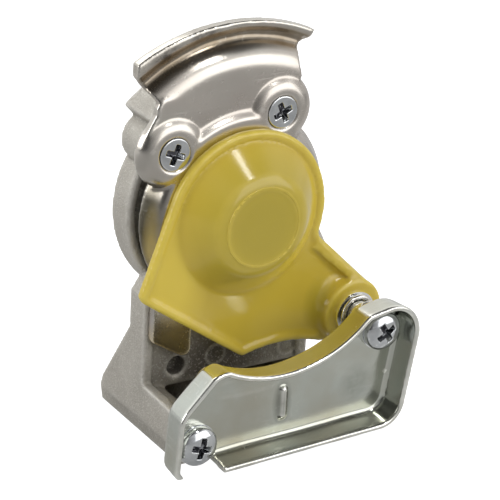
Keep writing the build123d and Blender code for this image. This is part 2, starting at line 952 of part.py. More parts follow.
def coil(radius, wire, height, turns):
    """Compression spring on the origin, its axis along +Z and its ends within the height."""
    steps = round(turns * points_per_turn)
    travel = height - wire
    end_rise = dead_turn * wire
    path = []
    for step in range(steps + 1):
        turn = step / points_per_turn
        if turn < dead_turn:
            rise = end_rise * turn / dead_turn
        elif turn > turns - dead_turn:
            rise = travel - end_rise * (turns - turn) / dead_turn
        else:
            rise = end_rise + (travel - 2 * end_rise) * (turn - dead_turn) / (turns - 2 * dead_turn)
        path.append((radius * cos(2 * pi * turn), radius * sin(2 * pi * turn), wire / 2 + rise))
    with BuildPart() as spring:
        with BuildLine():
            centre_line = Spline(*path)
        with BuildSketch(Plane(origin=centre_line @ 0, z_dir=centre_line % 0)):
            Circle(wire / 2)
        sweep(is_frenet=True)
    return spring.part


cover_spring = front(-spring_foot_height).location * Pos(pivot_at[0], pivot_at[1], 0) * coil(
    cover_spring_radius, cover_wire, slot_width - spring_foot_height, cover_spring_turns
)
cover_spring.label = "cover_spring"
export_step(cover_spring, "parts/cover_spring.step")

with BuildPart() as spring_washer:
    with BuildSketch(front(-spring_seat_height)):
        with Locations(pivot_at):
            Circle(spring_washer_radius)
            Circle(sleeve_radius + running_gap, mode=Mode.SUBTRACT)
    extrude(amount=spring_washer_thickness)

spring_washer.part.label = "spring_washer"
export_step(spring_washer.part, "parts/spring_washer.step")

# Face seal, rubber, pressed into its pocket
with BuildPart() as face_seal:
    with BuildSketch(section()):
        with BuildLine():
            Polyline(
                (seal_bore_radius + seal_bevel, seal_face),
                (seal_lip_radius - seal_bevel, seal_face),
                (seal_lip_radius, seal_face + seal_bevel),
                (seal_lip_radius, seal_face + seal_lip),
                (seal_neck_radius, seal_face + seal_lip + seal_bevel),
                (seal_neck_radius, pocket_floor - seal_flange),
                (pocket_radius - seat_gap, pocket_floor - seal_flange),
                (pocket_radius - seat_gap, pocket_floor),
                (seal_bore_radius + seal_bevel, pocket_floor),
                (seal_bore_radius, pocket_floor - seal_bevel),
                (seal_bore_radius, seal_face + seal_bevel),
                close=True,
            )
        make_face()
    revolve(axis=seal_axis)

face_seal.part.label = "face_seal"
export_step(face_seal.part, "parts/face_seal.step")

# Snap ring that holds the valve's seat in the chamber
with BuildPart() as snap_ring:
    with BuildSketch(front(snap_front + seat_gap + snap_thickness)):
        Circle(snap_groove_radius - 2 * seat_gap)
        Circle(snap_inner_radius, mode=Mode.SUBTRACT)
        with Locations((0, snap_groove_radius)):
            Rectangle(snap_gap_width, 2 * (snap_groove_radius - snap_inner_radius + 1), mode=Mode.SUBTRACT)
    extrude(amount=snap_thickness)

snap_ring.part.label = "snap_ring"
export_step(snap_ring.part, "parts/snap_ring.step")

# Valve seat with its sealing ring
with BuildPart() as seat_ring:
    with BuildSketch(section()):
        with BuildLine():
            Polyline(
                (seat_bore_radius + seat_bevel, seat_front),
                (chamber_radius - seat_gap, seat_front),
                (chamber_radius - seat_gap, seat_front + oring_land),
                (chamber_radius - 2 * oring_radius, seat_front + oring_land),
                (chamber_radius - 2 * oring_radius, seat_front + seat_thickness - oring_land),
                (chamber_radius - seat_gap, seat_front + seat_thickness - oring_land),
                (chamber_radius - seat_gap, seat_front + seat_thickness - seat_bevel),
                (facing_outer_radius - seat_land, seat_front + seat_thickness - seat_bevel),
                (facing_outer_radius - 2 * seat_land, seat_front + seat_thickness),
                (facing_inner_radius + 2 * seat_land, seat_front + seat_thickness),
                (seat_bore_radius, seat_front + seat_thickness - seat_bevel),
                (seat_bore_radius, seat_front + seat_bevel),
                close=True,
            )
        make_face()
    revolve(axis=seal_axis)

seat_ring.part.label = "seat_ring"
export_step(seat_ring.part, "parts/seat_ring.step")

with BuildPart() as seat_oring:
    with BuildSketch(section()):
        with Locations((chamber_radius - oring_radius, seat_front + seat_thickness / 2)):
            Circle(oring_radius - seat_gap)
    revolve(axis=seal_axis)

seat_oring.part.label = "seat_oring"
export_step(seat_oring.part, "parts/seat_oring.step")

# Valve plunger: disc, finned stem towards the front, spigot for the spring behind
with BuildPart() as valve_plunger:
    with BuildSketch(section()):
        with BuildLine():
            Polyline(
                (0, stem_tip),
                (stem_core_radius - plunger_bevel, stem_tip),
                (stem_core_radius, stem_tip + plunger_bevel),
                (stem_core_radius, plunger_front),
                (plunger_radius - plunger_bevel, plunger_front),
                (plunger_radius, plunger_front + plunger_bevel),
                (plunger_radius, plunger_back),
                (plunger_tail_radius, plunger_back),
                (plunger_tail_radius, plunger_back + plunger_tail),
                (0, plunger_back + plunger_tail),
                close=True,
            )
        make_face()
    revolve(axis=seal_axis)
    with BuildSketch(front(plunger_front)):
        with PolarLocations(0, stem_fin_count):
            Rectangle(stem_radius, stem_fin, align=(Align.MIN, Align.CENTER))
    extrude(amount=plunger_front - stem_tip - stem_fin_step)

valve_plunger.part.label = "valve_plunger"
export_step(valve_plunger.part, "parts/valve_plunger.step")

with BuildPart() as valve_washer:
    with BuildSketch(front(plunger_front)):
        Circle(facing_outer_radius)
        Circle(facing_inner_radius, mode=Mode.SUBTRACT)
    extrude(amount=facing_thickness)

valve_washer.part.label = "valve_washer"
export_step(valve_washer.part, "parts/valve_washer.step")

valve_spring = front(chamber_back).location * coil(
    valve_spring_radius, valve_wire, chamber_back - plunger_back, valve_spring_turns
)
valve_spring.label = "valve_spring"
export_step(valve_spring, "parts/valve_spring.step")
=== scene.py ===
"""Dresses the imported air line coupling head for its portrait.

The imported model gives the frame: +Z up, the front along -Y, metres. Sizes here are in
millimetres, measured as in the part's own drawing: x to the right, depth backwards
from the claw plate's pads and height above the seal's axis.
"""

import json
import logging
import math
from dataclasses import dataclass
from enum import Enum
from typing import Callable, Iterable, Mapping, Sequence

import bmesh
import bpy
from mathutils import Matrix, Vector, noise

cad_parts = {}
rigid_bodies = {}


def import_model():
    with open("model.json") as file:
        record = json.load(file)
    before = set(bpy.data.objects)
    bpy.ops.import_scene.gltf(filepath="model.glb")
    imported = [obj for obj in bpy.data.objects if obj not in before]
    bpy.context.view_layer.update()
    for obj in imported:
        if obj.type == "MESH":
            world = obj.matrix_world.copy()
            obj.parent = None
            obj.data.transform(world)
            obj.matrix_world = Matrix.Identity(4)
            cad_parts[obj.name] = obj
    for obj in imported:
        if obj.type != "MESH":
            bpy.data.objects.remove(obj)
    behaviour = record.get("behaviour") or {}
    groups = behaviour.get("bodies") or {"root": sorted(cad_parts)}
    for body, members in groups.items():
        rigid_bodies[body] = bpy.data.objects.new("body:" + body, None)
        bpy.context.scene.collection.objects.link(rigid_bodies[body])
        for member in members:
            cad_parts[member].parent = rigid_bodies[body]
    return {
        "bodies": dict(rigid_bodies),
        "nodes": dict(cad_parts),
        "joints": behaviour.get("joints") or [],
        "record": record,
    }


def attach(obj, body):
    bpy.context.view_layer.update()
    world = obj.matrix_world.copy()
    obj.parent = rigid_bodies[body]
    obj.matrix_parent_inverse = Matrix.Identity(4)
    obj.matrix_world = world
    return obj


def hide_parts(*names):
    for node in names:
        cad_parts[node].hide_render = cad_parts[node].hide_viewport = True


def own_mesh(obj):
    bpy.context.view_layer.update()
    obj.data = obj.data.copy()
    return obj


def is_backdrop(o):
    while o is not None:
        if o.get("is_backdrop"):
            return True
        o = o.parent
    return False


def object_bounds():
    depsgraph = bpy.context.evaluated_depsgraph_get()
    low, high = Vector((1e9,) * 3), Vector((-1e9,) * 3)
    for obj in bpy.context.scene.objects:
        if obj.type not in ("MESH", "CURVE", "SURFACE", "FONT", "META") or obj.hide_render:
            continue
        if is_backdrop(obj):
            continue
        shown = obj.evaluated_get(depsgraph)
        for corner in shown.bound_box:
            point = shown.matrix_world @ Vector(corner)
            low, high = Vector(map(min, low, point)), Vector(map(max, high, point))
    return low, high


LOG = logging.getLogger("coupling_head")

Point2 = tuple[float, float]
Point3 = tuple[float, float, float]
Ramp = tuple[float, float, float, float]
Faces = list[Sequence[int]]
Shape = bpy.types.Object
Material = bpy.types.Material
Tree = bpy.types.NodeTree
Node = bpy.types.Node
Socket = bpy.types.NodeSocket
Sockets = Mapping[str, Socket]

MM = 0.001
PAD_FORWARD = 19.4
SEAL_HEIGHT = 66.5
SAME_POINT = 1e-7
SAME_CAD_POINT = 2e-6
AXIS: Point2 = (0.0, 0.0)
PIVOT: Point2 = (37.07, -35.17)
BRACKET_CORNER: Point2 = (-24.5, -58.9)
PADS: tuple[Point2, ...] = ((-23.4, 21.5), (11.4, 29.2))
DOWN = 270.0
STEP = 5.0
FINE_STEP = 2.5
SHEET_VOXEL = 0.47


class Body(Enum):
    """The bodies that a piece can ride on."""

    HOUSING = "housing"
    SPRING_SEAT = "spring_seat"
    COVER = "swivel_cover"
    VALVE = "valve"


class Slot(Enum):
    """The record's material slots."""

    CAST = "cast_body"
    PLATE = "plated_sheet"
    SCREW = "bright_screw"
    COVER = "cover_plastic"
    SPRING = "spring_wire"
    RUBBER = "seal_rubber"


def place(x: float, depth: float, height: float) -> Vector:
    """Turns drawing millimetres into a point of the frame, in metres."""
    return Vector((x * MM, (depth - PAD_FORWARD) * MM, (height + SEAL_HEIGHT) * MM))


def drawing(point: Vector) -> Point3:
    """Turns a point of the frame back into x, depth and height in millimetres."""
    return (point.x / MM, point.y / MM + PAD_FORWARD, point.z / MM - SEAL_HEIGHT)


def smooth_step(low: float, high: float, value: float) -> float:
    """Rises smoothly from 0 at low to 1 at high."""
    share = min(1.0, max(0.0, (value - low) / (high - low)))
    return share * share * (3.0 - 2.0 * share)


@dataclass(frozen=True)
class Waves:
    """Unevenness of a pressed sheet: waves per millimetre, seed and height."""

    grain: Point2
    seed: float
    size: float

    def at(self, x: float, height: float) -> float:
        """Gives the millimetres backwards at a place of the sheet."""
        spot = Vector((x * self.grain[0], height * self.grain[1], self.seed))
        return noise.noise(spot) * self.size


def polar(radius: float, degrees: float, centre: Point2 = AXIS) -> Point2:
    """Point on a circle, as right and up."""
    turn = math.radians(degrees)
    return (centre[0] + radius * math.cos(turn), centre[1] + radius * math.sin(turn))


def round_corners(corners: Sequence[Point3], step: float = 7.5) -> list[Point2]:
    """Rounds the corners of a closed outline.

    Args:
        corners: Each corner as two coordinates and its rounding radius.
        step: Degrees of turn between two points of a rounding.

    Returns:
        The outline's points, in order.
    """
    outline: list[Point2] = []
    count = len(corners)
    for index, (x, y, radius) in enumerate(corners):
        here = Vector((x, y))
        if radius <= 0.0:
            outline.append((x, y))
            continue
        before = Vector(corners[index - 1][:2]) - here
        after = Vector(corners[(index + 1) % count][:2]) - here
        before.normalize()
        after.normalize()
        half = before.angle(after) / 2.0
        reach = radius / math.tan(half)
        centre = here + (before + after).normalized() * (radius / math.sin(half))
        start = here + before * reach - centre
        end = here + after * reach - centre
        turn = math.pi - 2.0 * half
        sign = 1.0 if start.x * end.y - start.y * end.x > 0.0 else -1.0
        pieces = max(2, round(math.degrees(turn) / step))
        for piece in range(pieces + 1):
            angle = sign * turn * piece / pieces
            right, up = math.cos(angle), math.sin(angle)
            spun = Vector((start.x * right - start.y * up, start.x * up + start.y * right))
            outline.append((centre.x + spun.x, centre.y + spun.y))
    return outline


def slot_distance(x: float, z: float, centre: Point2, length: float, width: float) -> float:
    """Measures how far a point lies from an upright slot with round ends.

    Args:
        x: The point's place to the right.
        z: Its height.
        centre: The slot's middle.
        length: The slot's whole length.
        width: Its width.

    Returns:
        The distance outside the slot's edge, negative inside.
    """
    run = (length - width) / 2.0
    rise = max(-run, min(run, z - centre[1]))
    return math.hypot(x - centre[0], z - centre[1] - rise) - width / 2.0


def show(name: str, data: bpy.types.ID) -> Shape:
    """Puts a mesh, lamp or camera into the scene as an object.

    Args:
        name: The object's name.
        data: What it holds.

    Returns:
        The object.
    """
    made = bpy.data.objects.new(name, data)
    bpy.context.scene.collection.objects.link(made)
    return made


def discard(*objects: Shape) -> None:
    """Removes helper objects with their meshes.

    Args:
        objects: The helpers.
    """
    for helper in objects:
        mesh = helper.data
        bpy.data.objects.remove(helper)
        if mesh.users == 0:
            bpy.data.meshes.remove(mesh)


def finished(name: str, work: bmesh.types.BMesh, mesh: bpy.types.Mesh) -> Shape:
    """Writes a work mesh into a plain one and shows it.

    Args:
        name: The object's name.
        work: The work mesh, which is freed.
        mesh: The mesh to write.

    Returns:
        The object.
    """
    work.to_mesh(mesh)
    work.free()
    return show(name, mesh)


def mesh_object(name: str, points: Iterable[Vector], faces: Iterable[Sequence[int]]) -> Shape:
    """Makes a closed mesh with its faces turned outwards.

    Args:
        name: The object's name.
        points: Corners in metres.
        faces: Corner numbers of each face.

    Returns:
        The new object.
    """
    mesh = bpy.data.meshes.new(name)
    mesh.from_pydata([tuple(point) for point in points], [], [tuple(face) for face in faces])
    work = bmesh.new()
    work.from_mesh(mesh)
    bmesh.ops.remove_doubles(work, verts=work.verts, dist=SAME_POINT)
    bmesh.ops.recalc_face_normals(work, faces=work.faces)
    return finished(name, work, mesh)


def join(name: str, shapes: Sequence[Shape]) -> Shape:
    """Puts several meshes into one object, without merging them.

    Args:
        name: The new object's name.
        shapes: The objects, which are used up.

    Returns:
        The joined object.
    """
    work = bmesh.new()
    for shape in shapes:
        work.from_mesh(shape.data)
    discard(*shapes)
    return finished(name, work, bpy.data.meshes.new(name))


def merged_copy(node: Shape, name: str) -> Shape:
    """Copies a frame node's mesh, with its loose triangles joined up.

    Args:
        node: The frame's node, left as it is.
        name: Name of the copy.

    Returns:
        The copy.
    """
    work = bmesh.new()
    work.from_mesh(node.data)
    bmesh.ops.remove_doubles(work, verts=work.verts, dist=SAME_CAD_POINT)
    return finished(name, work, bpy.data.meshes.new(name))


def settle(shape: Shape) -> Shape:
    """Turns an object's modifiers into plain mesh.

    Args:
        shape: The object, with modifiers.

    Returns:
        The same object, its modifiers gone and their result in its mesh.
    """
    bpy.context.view_layer.update()
    graph = bpy.context.evaluated_depsgraph_get()
    result = bpy.data.meshes.new_from_object(shape.evaluated_get(graph))
    shape.modifiers.clear()
    old = shape.data
    shape.data = result
    bpy.data.meshes.remove(old)
    result.name = shape.name
    return shape


def carve(shape: Shape, cutters: Sequence[Shape]) -> Shape:
    """Cuts shapes out of another.

    Args:
        shape: The solid to cut.
        cutters: Closed solids, which are kept.

    Returns:
        The cut solid.
    """
    for cutter in cutters:
        cut = shape.modifiers.new("cut", "BOOLEAN")
        cut.operation = "DIFFERENCE"
        cut.solver = "EXACT"
        cut.object = cutter
    return settle(shape)


def relax(shape: Shape, passes: int, group: str = "") -> Shape:
    """Smooths a skin and turns it into plain mesh.

    Args:
        shape: The skin, with or without modifiers.
        passes: How often it is smoothed.
        group: The vertex group that says how much, or nothing for all alike.

    Returns:
        The same object.
    """
    if passes:
        soft = shape.modifiers.new("relax", "SMOOTH")
        soft.factor = 0.5
        soft.iterations = passes
        soft.vertex_group = group
    settle(shape)
    shape.data.shade_smooth()
    return shape


def fuse(shape: Shape, voxel: float, passes: int) -> Shape:
    """Grows overlapping solids into one skin with soft edges.

    Args:
        shape: The object that holds the solids.
        voxel: Size of the skin's squares in millimetres.
        passes: How often the skin is smoothed.

    Returns:
        The fused object.
    """
    skin = shape.modifiers.new("skin", "REMESH")
    skin.mode = "VOXEL"
    skin.voxel_size = voxel * MM
    return relax(shape, passes)


def press(shape: Shape, move: Callable[[float, float, float], float]) -> None:
    """Pushes a sheet's points backwards or forwards.

    Args:
        shape: The sheet.
        move: Gives the millimetres backwards for x, depth and height.
    """
    for vertex in shape.data.vertices:
        vertex.co.y += move(*drawing(vertex.co)) * MM
    shape.data.update()


def belt(rings: int, size: int, whole: bool = True, closed: bool = True) -> Faces:
    """Lists the four-sided faces between neighbouring rings of points.

    Args:
        rings: Number of rings.
        size: Number of points in each.
        whole: True when the last ring meets the first.
        closed: True when each ring's last point meets its first.

    Returns:
        The faces, ring by ring.
    """
    faces: Faces = []
    for ring in range(rings if whole else rings - 1):
        near, far = ring * size, (ring + 1) % rings * size
        for corner in range(size if closed else size - 1):
            following = (corner + 1) % size
            faces.append((near + corner, near + following, far + following, far + corner))
    return faces


def revolve(
    name: str,
    profile: Sequence[Point2],
    centre: Point2 = AXIS,
    arc: Point2 = (0.0, 360.0),
    step: float = STEP,
) -> Shape:
    """Turns a profile about an axis that runs to the back.

    Args:
        name: The object's name.
        profile: Radius and depth of each corner; one that starts on the axis ends there too.
        centre: Where the axis stands, right and up of the seal's axis.
        arc: First and last angle in degrees, 0 to the right and 90 up.
        step: Degrees between two sections.

    Returns:
        The closed solid.
    """
    start, end = arc
    whole = end - start >= 360.0
    sections = max(3, round((end - start) / step))
    rings = sections if whole else sections + 1
    points = []
    for ring in range(rings):
        right, up = polar(1.0, start + (end - start) * ring / sections)
        points += [place(centre[0] + r * right, d, centre[1] + r * up) for r, d in profile]
    size = len(profile)
    faces = belt(rings, size, whole, closed=profile[0][0] > 0.0)
    if not whole:
        faces += [range(size), range((rings - 1) * size, rings * size)]
    return mesh_object(name, points, faces)


def rod(
    name: str, radius: float, ends: Point2, centre: Point2 = AXIS, step: float = STEP
) -> Shape:
    """Turns a round bar from one depth to another, to drill holes with."""
    profile = ((0.0, ends[0]), (radius, ends[0]), (radius, ends[1]), (0.0, ends[1]))
    return revolve(name, profile, centre, step=step)


def prism(name: str, outline: Sequence[Point2], front: float, back: float) -> Shape:
    """Extrudes a flat outline from one depth to another.

    Args:
        name: The object's name.
        outline: Right and up of each corner.
        front: Depth of the front face.
        back: Depth of the back face.

    Returns:
        The closed solid.
    """
    size = len(outline)
    points = [place(x, depth, z) for depth in (front, back) for x, z in outline]
    faces = [range(size), range(size, 2 * size), *belt(2, size, whole=False)]
    return mesh_object(name, points, faces)


def dress(
    piece: Shape, body: Body, material: Material, nodes: Sequence[str] = ()
) -> None:
    """Gives a finished piece its material and body.

    Args:
        piece: The finished mesh.
        body: What it rides on.
        material: Its material.
        nodes: The frame nodes that it stands for.
    """
    piece.data.materials.clear()
    piece.data.materials.append(material)
    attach(piece, body.value)
    if nodes:
        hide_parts(*nodes)
    LOG.info("%s: %d faces on %s", piece.name, len(piece.data.polygons), body.value)


def dress_kept(frame: dict, finishes: Mapping[str, Material]) -> None:
    """Gives the nodes that keep their shape a finish.

    Args:
        frame: The loaded frame.
        finishes: Material of each node.
    """
    for name, material in finishes.items():
        node = frame["nodes"][name]
        node.data.materials.clear()
        node.data.materials.append(material)
        LOG.info("%s keeps its shape", name)


class NodeBench:
    """Places nodes in one tree and joins their sockets."""

    COLUMN = 180
    MIX_SHARE = 0
    MIX_COLOURS = (6, 7)
    MIX_RESULT = 2

    def __init__(self, tree: Tree) -> None:
        """Takes the tree to fill."""
        self.tree = tree
        self.column = 0

    def add(
        self, kind: str, feeds: Mapping[str | int, object] | None = None, **settings: object
    ) -> Node:
        """Adds a node.

        Args:
            kind: Blender's name of the node.
            feeds: What each named or numbered input gets, a socket or a plain value.
            settings: Values of the node's own properties.

        Returns:
            The node.
        """
        made = self.tree.nodes.new(kind)
        made.location = (self.column * self.COLUMN, 0)
        self.column += 1
        for name, value in settings.items():
            setattr(made, name, value)
        self.fill(made, feeds or {})
        return made

    def fill(self, node: Node, feeds: Mapping[str | int, object]) -> None:
        """Gives a node's inputs their links or plain values.

        Args:
            node: The node.
            feeds: What each named or numbered input gets.
        """
        for label, source in feeds.items():
            if isinstance(source, Socket):
                self.tree.links.new(source, node.inputs[label])
            else:
                node.inputs[label].default_value = source

    def use(self, group: Tree, where: Socket, **values: object) -> dict[str, Socket]:
        """Places a shared group and gives its outputs by name."""
        made = self.add("ShaderNodeGroup", {"Vector": where, **values}, node_tree=group)
        return {socket.name: socket for socket in made.outputs}

    def math(
        self, operation: str, first: object, second: object = 0.0, clamp: bool = False
    ) -> Socket:
        """Adds a sum of two sockets or numbers; clamp keeps the result from 0 to 1."""
        feeds = {0: first, 1: second}
        return self.add("ShaderNodeMath", feeds, operation=operation, use_clamp=clamp).outputs[0]

    def product(self, first: object, *others: object, clamp: bool = False) -> Socket:
        """Multiplies sockets or numbers in order; clamp keeps the last result from 0 to 1.

        Args:
            first: The first factor.
            others: The other factors.
            clamp: True to hold the result.

        Returns:
            The result's socket.
        """
        for index, other in enumerate(others, start=1):
            first = self.math("MULTIPLY", first, other, clamp and index == len(others))
        return first

    def spread(
        self, value: object, low: float, high: float, first: object = 0.0, last: object = 1.0
    ) -> Socket:
        """Maps the range from low to high onto first to last, held at both ends."""
        feeds = dict(enumerate((value, low, high, first, last)))
        return self.add("ShaderNodeMapRange", feeds).outputs[0]

    def blend(self, share: object, first: object, second: object) -> Socket:
        """Mixes two colours.

        Args:
            share: How much of the second, socket or number.
            first: Colour or socket.
            second: Colour or socket.

        Returns:
            The mixed colour's socket.
        """
        feeds = {self.MIX_SHARE: share}
        for index, source in zip(self.MIX_COLOURS, (first, second)):
            feeds[index] = source if isinstance(source, Socket) else (*source, 1.0)
        return self.add("ShaderNodeMix", feeds, data_type="RGBA").outputs[self.MIX_RESULT]

    def noise(
        self, vector: object, scale: object, detail: float = 3.0, rough: float = 0.5
    ) -> Socket:
        """Adds a noise pattern and gives its value socket."""
        feeds = {"Vector": vector, "Scale": scale, "Detail": detail, "Roughness": rough}
        return self.add("ShaderNodeTexNoise", feeds).outputs[0]

    def mapped(
        self,
        vector: object,
        scale: Sequence[float],
        turn: Sequence[float] = (0.0, 0.0, 0.0),
        shift: Sequence[float] = (0.0, 0.0, 0.0),
    ) -> Socket:
        """Stretches, turns and then shifts coordinates."""
        feeds = {"Vector": vector, "Scale": scale, "Rotation": turn, "Location": shift}
        return self.add("ShaderNodeMapping", feeds).outputs[0]

    def distance(self, where: Socket, centre: Vector, scale: Sequence[float]) -> Socket:
        """Measures how far a point lies from a centre.

        Args:
            where: Coordinates in metres.
            centre: The centre in metres.
            scale: Factor of each axis.

        Returns:
            The scaled distance.
        """
        shift = [-part * factor for part, factor in zip(centre, scale)]
        moved = self.mapped(where, scale, shift=shift)
        return self.add("ShaderNodeVectorMath", {0: moved}, operation="LENGTH").outputs["Value"]


def principled(name: str) -> tuple[Material, NodeBench, Node]:
    """Starts a material with nothing but a Principled shader.

    Args:
        name: The material's name.

    Returns:
        The material, its bench and its shader.
    """
    material = bpy.data.materials.new(name)
    material.use_nodes = True
    material.node_tree.nodes.clear()
    bench = NodeBench(material.node_tree)
    shader = bench.add("ShaderNodeBsdfPrincipled")
    bench.add("ShaderNodeOutputMaterial", {"Surface": shader.outputs[0]})
    return material, bench, shader


class SharedEffects:
    """Node groups that more than one finish uses.

    A pair of numbers is where a pattern's mask starts and where it is full.
    """

    SCRATCH_WAYS = (((0.2, 0.7, 0.4), (1.0, 26.0, 26.0)), ((1.1, -0.5, 1.3), (22.0, 1.0, 22.0)))
    SCRATCH_EDGE = (0.63, 0.72)
    PATCH_SCALE = 90.0
    PATCH_EDGE = (0.42, 0.62)
    SAND = (4.0, 0.62)
    CELLS_PER_GRAIN = 2.1
    FACET_EDGE = (0.80, 0.95)
    PIT_REACH = 0.6
    PIT_DEPTH = 0.35
    CLOUD = (4.0, 0.55)
    CLOUD_GAIN = 6.0
    RUB_SCALE = 260.0
    RUB: Ramp = (0.3, 0.7, 0.45, 1.0)

    def __init__(self) -> None:
        """Builds every group once."""
        inputs = {"Vector": None, "Scale": 60.0, "Cover": 0.5}
        self.scratches = self._group("FineScratches", inputs, self._scratches)
        inputs = {"Vector": None, "Scale": 900.0}
        self.grain = self._group("CastGrain", inputs, self._grain)
        inputs = {"Vector": None, "Scale": 60.0, "Contrast": 0.5}
        self.mottle = self._group("SoftMottle", inputs, self._mottle)
        # Lighter worn edges with a painted highlight, and painted shade in hollows.
        inputs = {"Vector": None, "Pointiness": 0.5, "Reach": 0.03}
        self.wear_and_shading = self._group("EdgeWear", inputs, self._wear_and_shading)

    @staticmethod
    def _group(
        name: str,
        inputs: Mapping[str, float | None],
        fill: Callable[[NodeBench, Sockets], dict[str, Socket]],
    ) -> Tree:
        """Makes a group.

        Args:
            name: The group's name.
            inputs: Name and default of each input; None makes a vector.
            fill: Adds the nodes and gives the output values by name.

        Returns:
            The group.
        """
        tree = bpy.data.node_groups.new(name, "ShaderNodeTree")
        face = tree.interface
        for label, default in inputs.items():
            kind = "NodeSocketVector" if default is None else "NodeSocketFloat"
            socket = face.new_socket(name=label, in_out="INPUT", socket_type=kind)
            if default is not None:
                socket.default_value = default
        bench = NodeBench(tree)
        results = fill(bench, bench.add("NodeGroupInput").outputs)
        for label in results:
            face.new_socket(name=label, in_out="OUTPUT", socket_type="NodeSocketFloat")
        bench.add("NodeGroupOutput", results)
        return tree

    def _scratches(self, bench: NodeBench, given: Sockets) -> dict[str, Socket]:
        """Adds fine scratches in two directions, here and there.

        Args:
            bench: The group's bench.
            given: The group's inputs.

        Returns:
            The scratches' mask.
        """
        masks = []
        for turn, stretch in self.SCRATCH_WAYS:
            lines = bench.noise(bench.mapped(given["Vector"], stretch, turn), given["Scale"], 2.0)
            masks.append(bench.spread(lines, *self.SCRATCH_EDGE))
        clouds = bench.noise(given["Vector"], self.PATCH_SCALE, 2.0)
        patches = bench.spread(clouds, *self.PATCH_EDGE)
        both = bench.math("MAXIMUM", *masks)
        return {"Mask": bench.product(both, patches, given["Cover"], clamp=True)}

    def _grain(self, bench: NodeBench, given: Sockets) -> dict[str, Socket]:
        """Adds the sand grain of a casting.

        Args:
            bench: The group's bench.
            given: The group's inputs.

        Returns:
            Its height, and its bright facets as a mask.
        """
        coarse = bench.noise(given["Vector"], given["Scale"], *self.SAND)
        fine = bench.product(given["Scale"], self.CELLS_PER_GRAIN)
        feeds = {"Vector": given["Vector"], "Scale": fine}
        cells = bench.add("ShaderNodeTexVoronoi", feeds).outputs
        split = bench.add("ShaderNodeSeparateColor", {0: cells["Color"]})
        facets = bench.spread(split.outputs[0], *self.FACET_EDGE)
        pits = bench.spread(cells["Distance"], 0.0, self.PIT_REACH, 0.0, self.PIT_DEPTH)
        return {"Height": bench.math("ADD", coarse, pits), "Facets": facets}

    def _mottle(self, bench: NodeBench, given: Sockets) -> dict[str, Socket]:
        """Adds soft clouds.

        Args:
            bench: The group's bench.
            given: The group's inputs.

        Returns:
            The clouds, from 0 to 1.
        """
        clouds = bench.noise(given["Vector"], given["Scale"], *self.CLOUD)
        gain = bench.product(given["Contrast"], self.CLOUD_GAIN)
        grown = bench.product(bench.math("SUBTRACT", clouds, 0.5), gain)
        return {"Cloud": bench.math("ADD", grown, 0.5, True)}

    def _wear_and_shading(self, bench: NodeBench, given: Sockets) -> dict[str, Socket]:
        """Adds lighter edges, rubbed wear with a painted highlight, and painted shade in hollows,
        from the surface's pointiness.

        Args:
            bench: The group's bench.
            given: The group's inputs.

        Returns:
            A mask of the lighter edges and one of the painted shade in hollows.
        """
        above = bench.math("SUBTRACT", given["Pointiness"], 0.5)
        share = bench.math("DIVIDE", above, given["Reach"])
        rough = bench.spread(bench.noise(given["Vector"], self.RUB_SCALE), *self.RUB)
        return {
            "Edges": bench.product(share, rough, clamp=True),
            "Hollows": bench.product(share, -1.0, rough, clamp=True),
        }


@dataclass(frozen=True)
class LocalTint:
    """A tint around one place, dark or light, whole or patchy: painted shade, painted light and
    painted reflections, and real scuffs.
    """

    centre: Point3
    size: Point3
    colour: Point3
    share: float
    patchy: float = 1.0

    FADE: Ramp = (0.35, 1.0, 1.0, 0.0)
    PATTERN = (420.0, 4.0, 0.6)
    PATCH_EDGE = (0.42, 0.62)

    def lay(self, bench: NodeBench, where: Socket, colour: Socket) -> Socket:
        """Tints the colour around the place.

        Args:
            bench: The material's bench.
            where: Object coordinates in metres.
            colour: The colour so far.

        Returns:
            The tinted colour.
        """
        scale = [1.0 / (part * MM) for part in self.size]
        near = bench.spread(bench.distance(where, place(*self.centre), scale), *self.FADE)
        pattern = bench.noise(where, *self.PATTERN)
        patches = bench.spread(pattern, *self.PATCH_EDGE, 1.0 - self.patchy, 1.0)
        mask = bench.product(near, patches, self.share, clamp=True)
        return bench.blend(mask, colour, self.colour)


@dataclass(frozen=True)
class RingTint:
    """A tint between two radii about the seal's axis: a painted dark reflection in the trough, a
    duller tone on the lip.
    """

    radii: Point2
    fade: float
    colour: Point3
    share: float

    PATTERN = (160.0, 3.0, 0.5)
    CLOUDY: Ramp = (0.35, 0.65, 0.75, 1.0)

    def lay(self, bench: NodeBench, where: Socket, colour: Socket) -> Socket:
        """Lays the tint over the colour.

        Args:
            bench: The material's bench.
            where: Object coordinates in metres.
            colour: The colour so far.

        Returns:
            The filmed colour.
        """
        radius = bench.distance(where, place(0.0, 0.0, 0.0), (1.0, 0.0, 1.0))
        low, high = (part * MM for part in self.radii)
        soft = self.fade * MM
        inside = bench.spread(radius, low - soft, low + soft)
        outside = bench.spread(radius, high - soft, high + soft, 1.0, 0.0)
        cloudy = bench.spread(bench.noise(where, *self.PATTERN), *self.CLOUDY)
        mask = bench.product(inside, outside, cloudy, self.share, clamp=True)
        return bench.blend(mask, colour, self.colour)


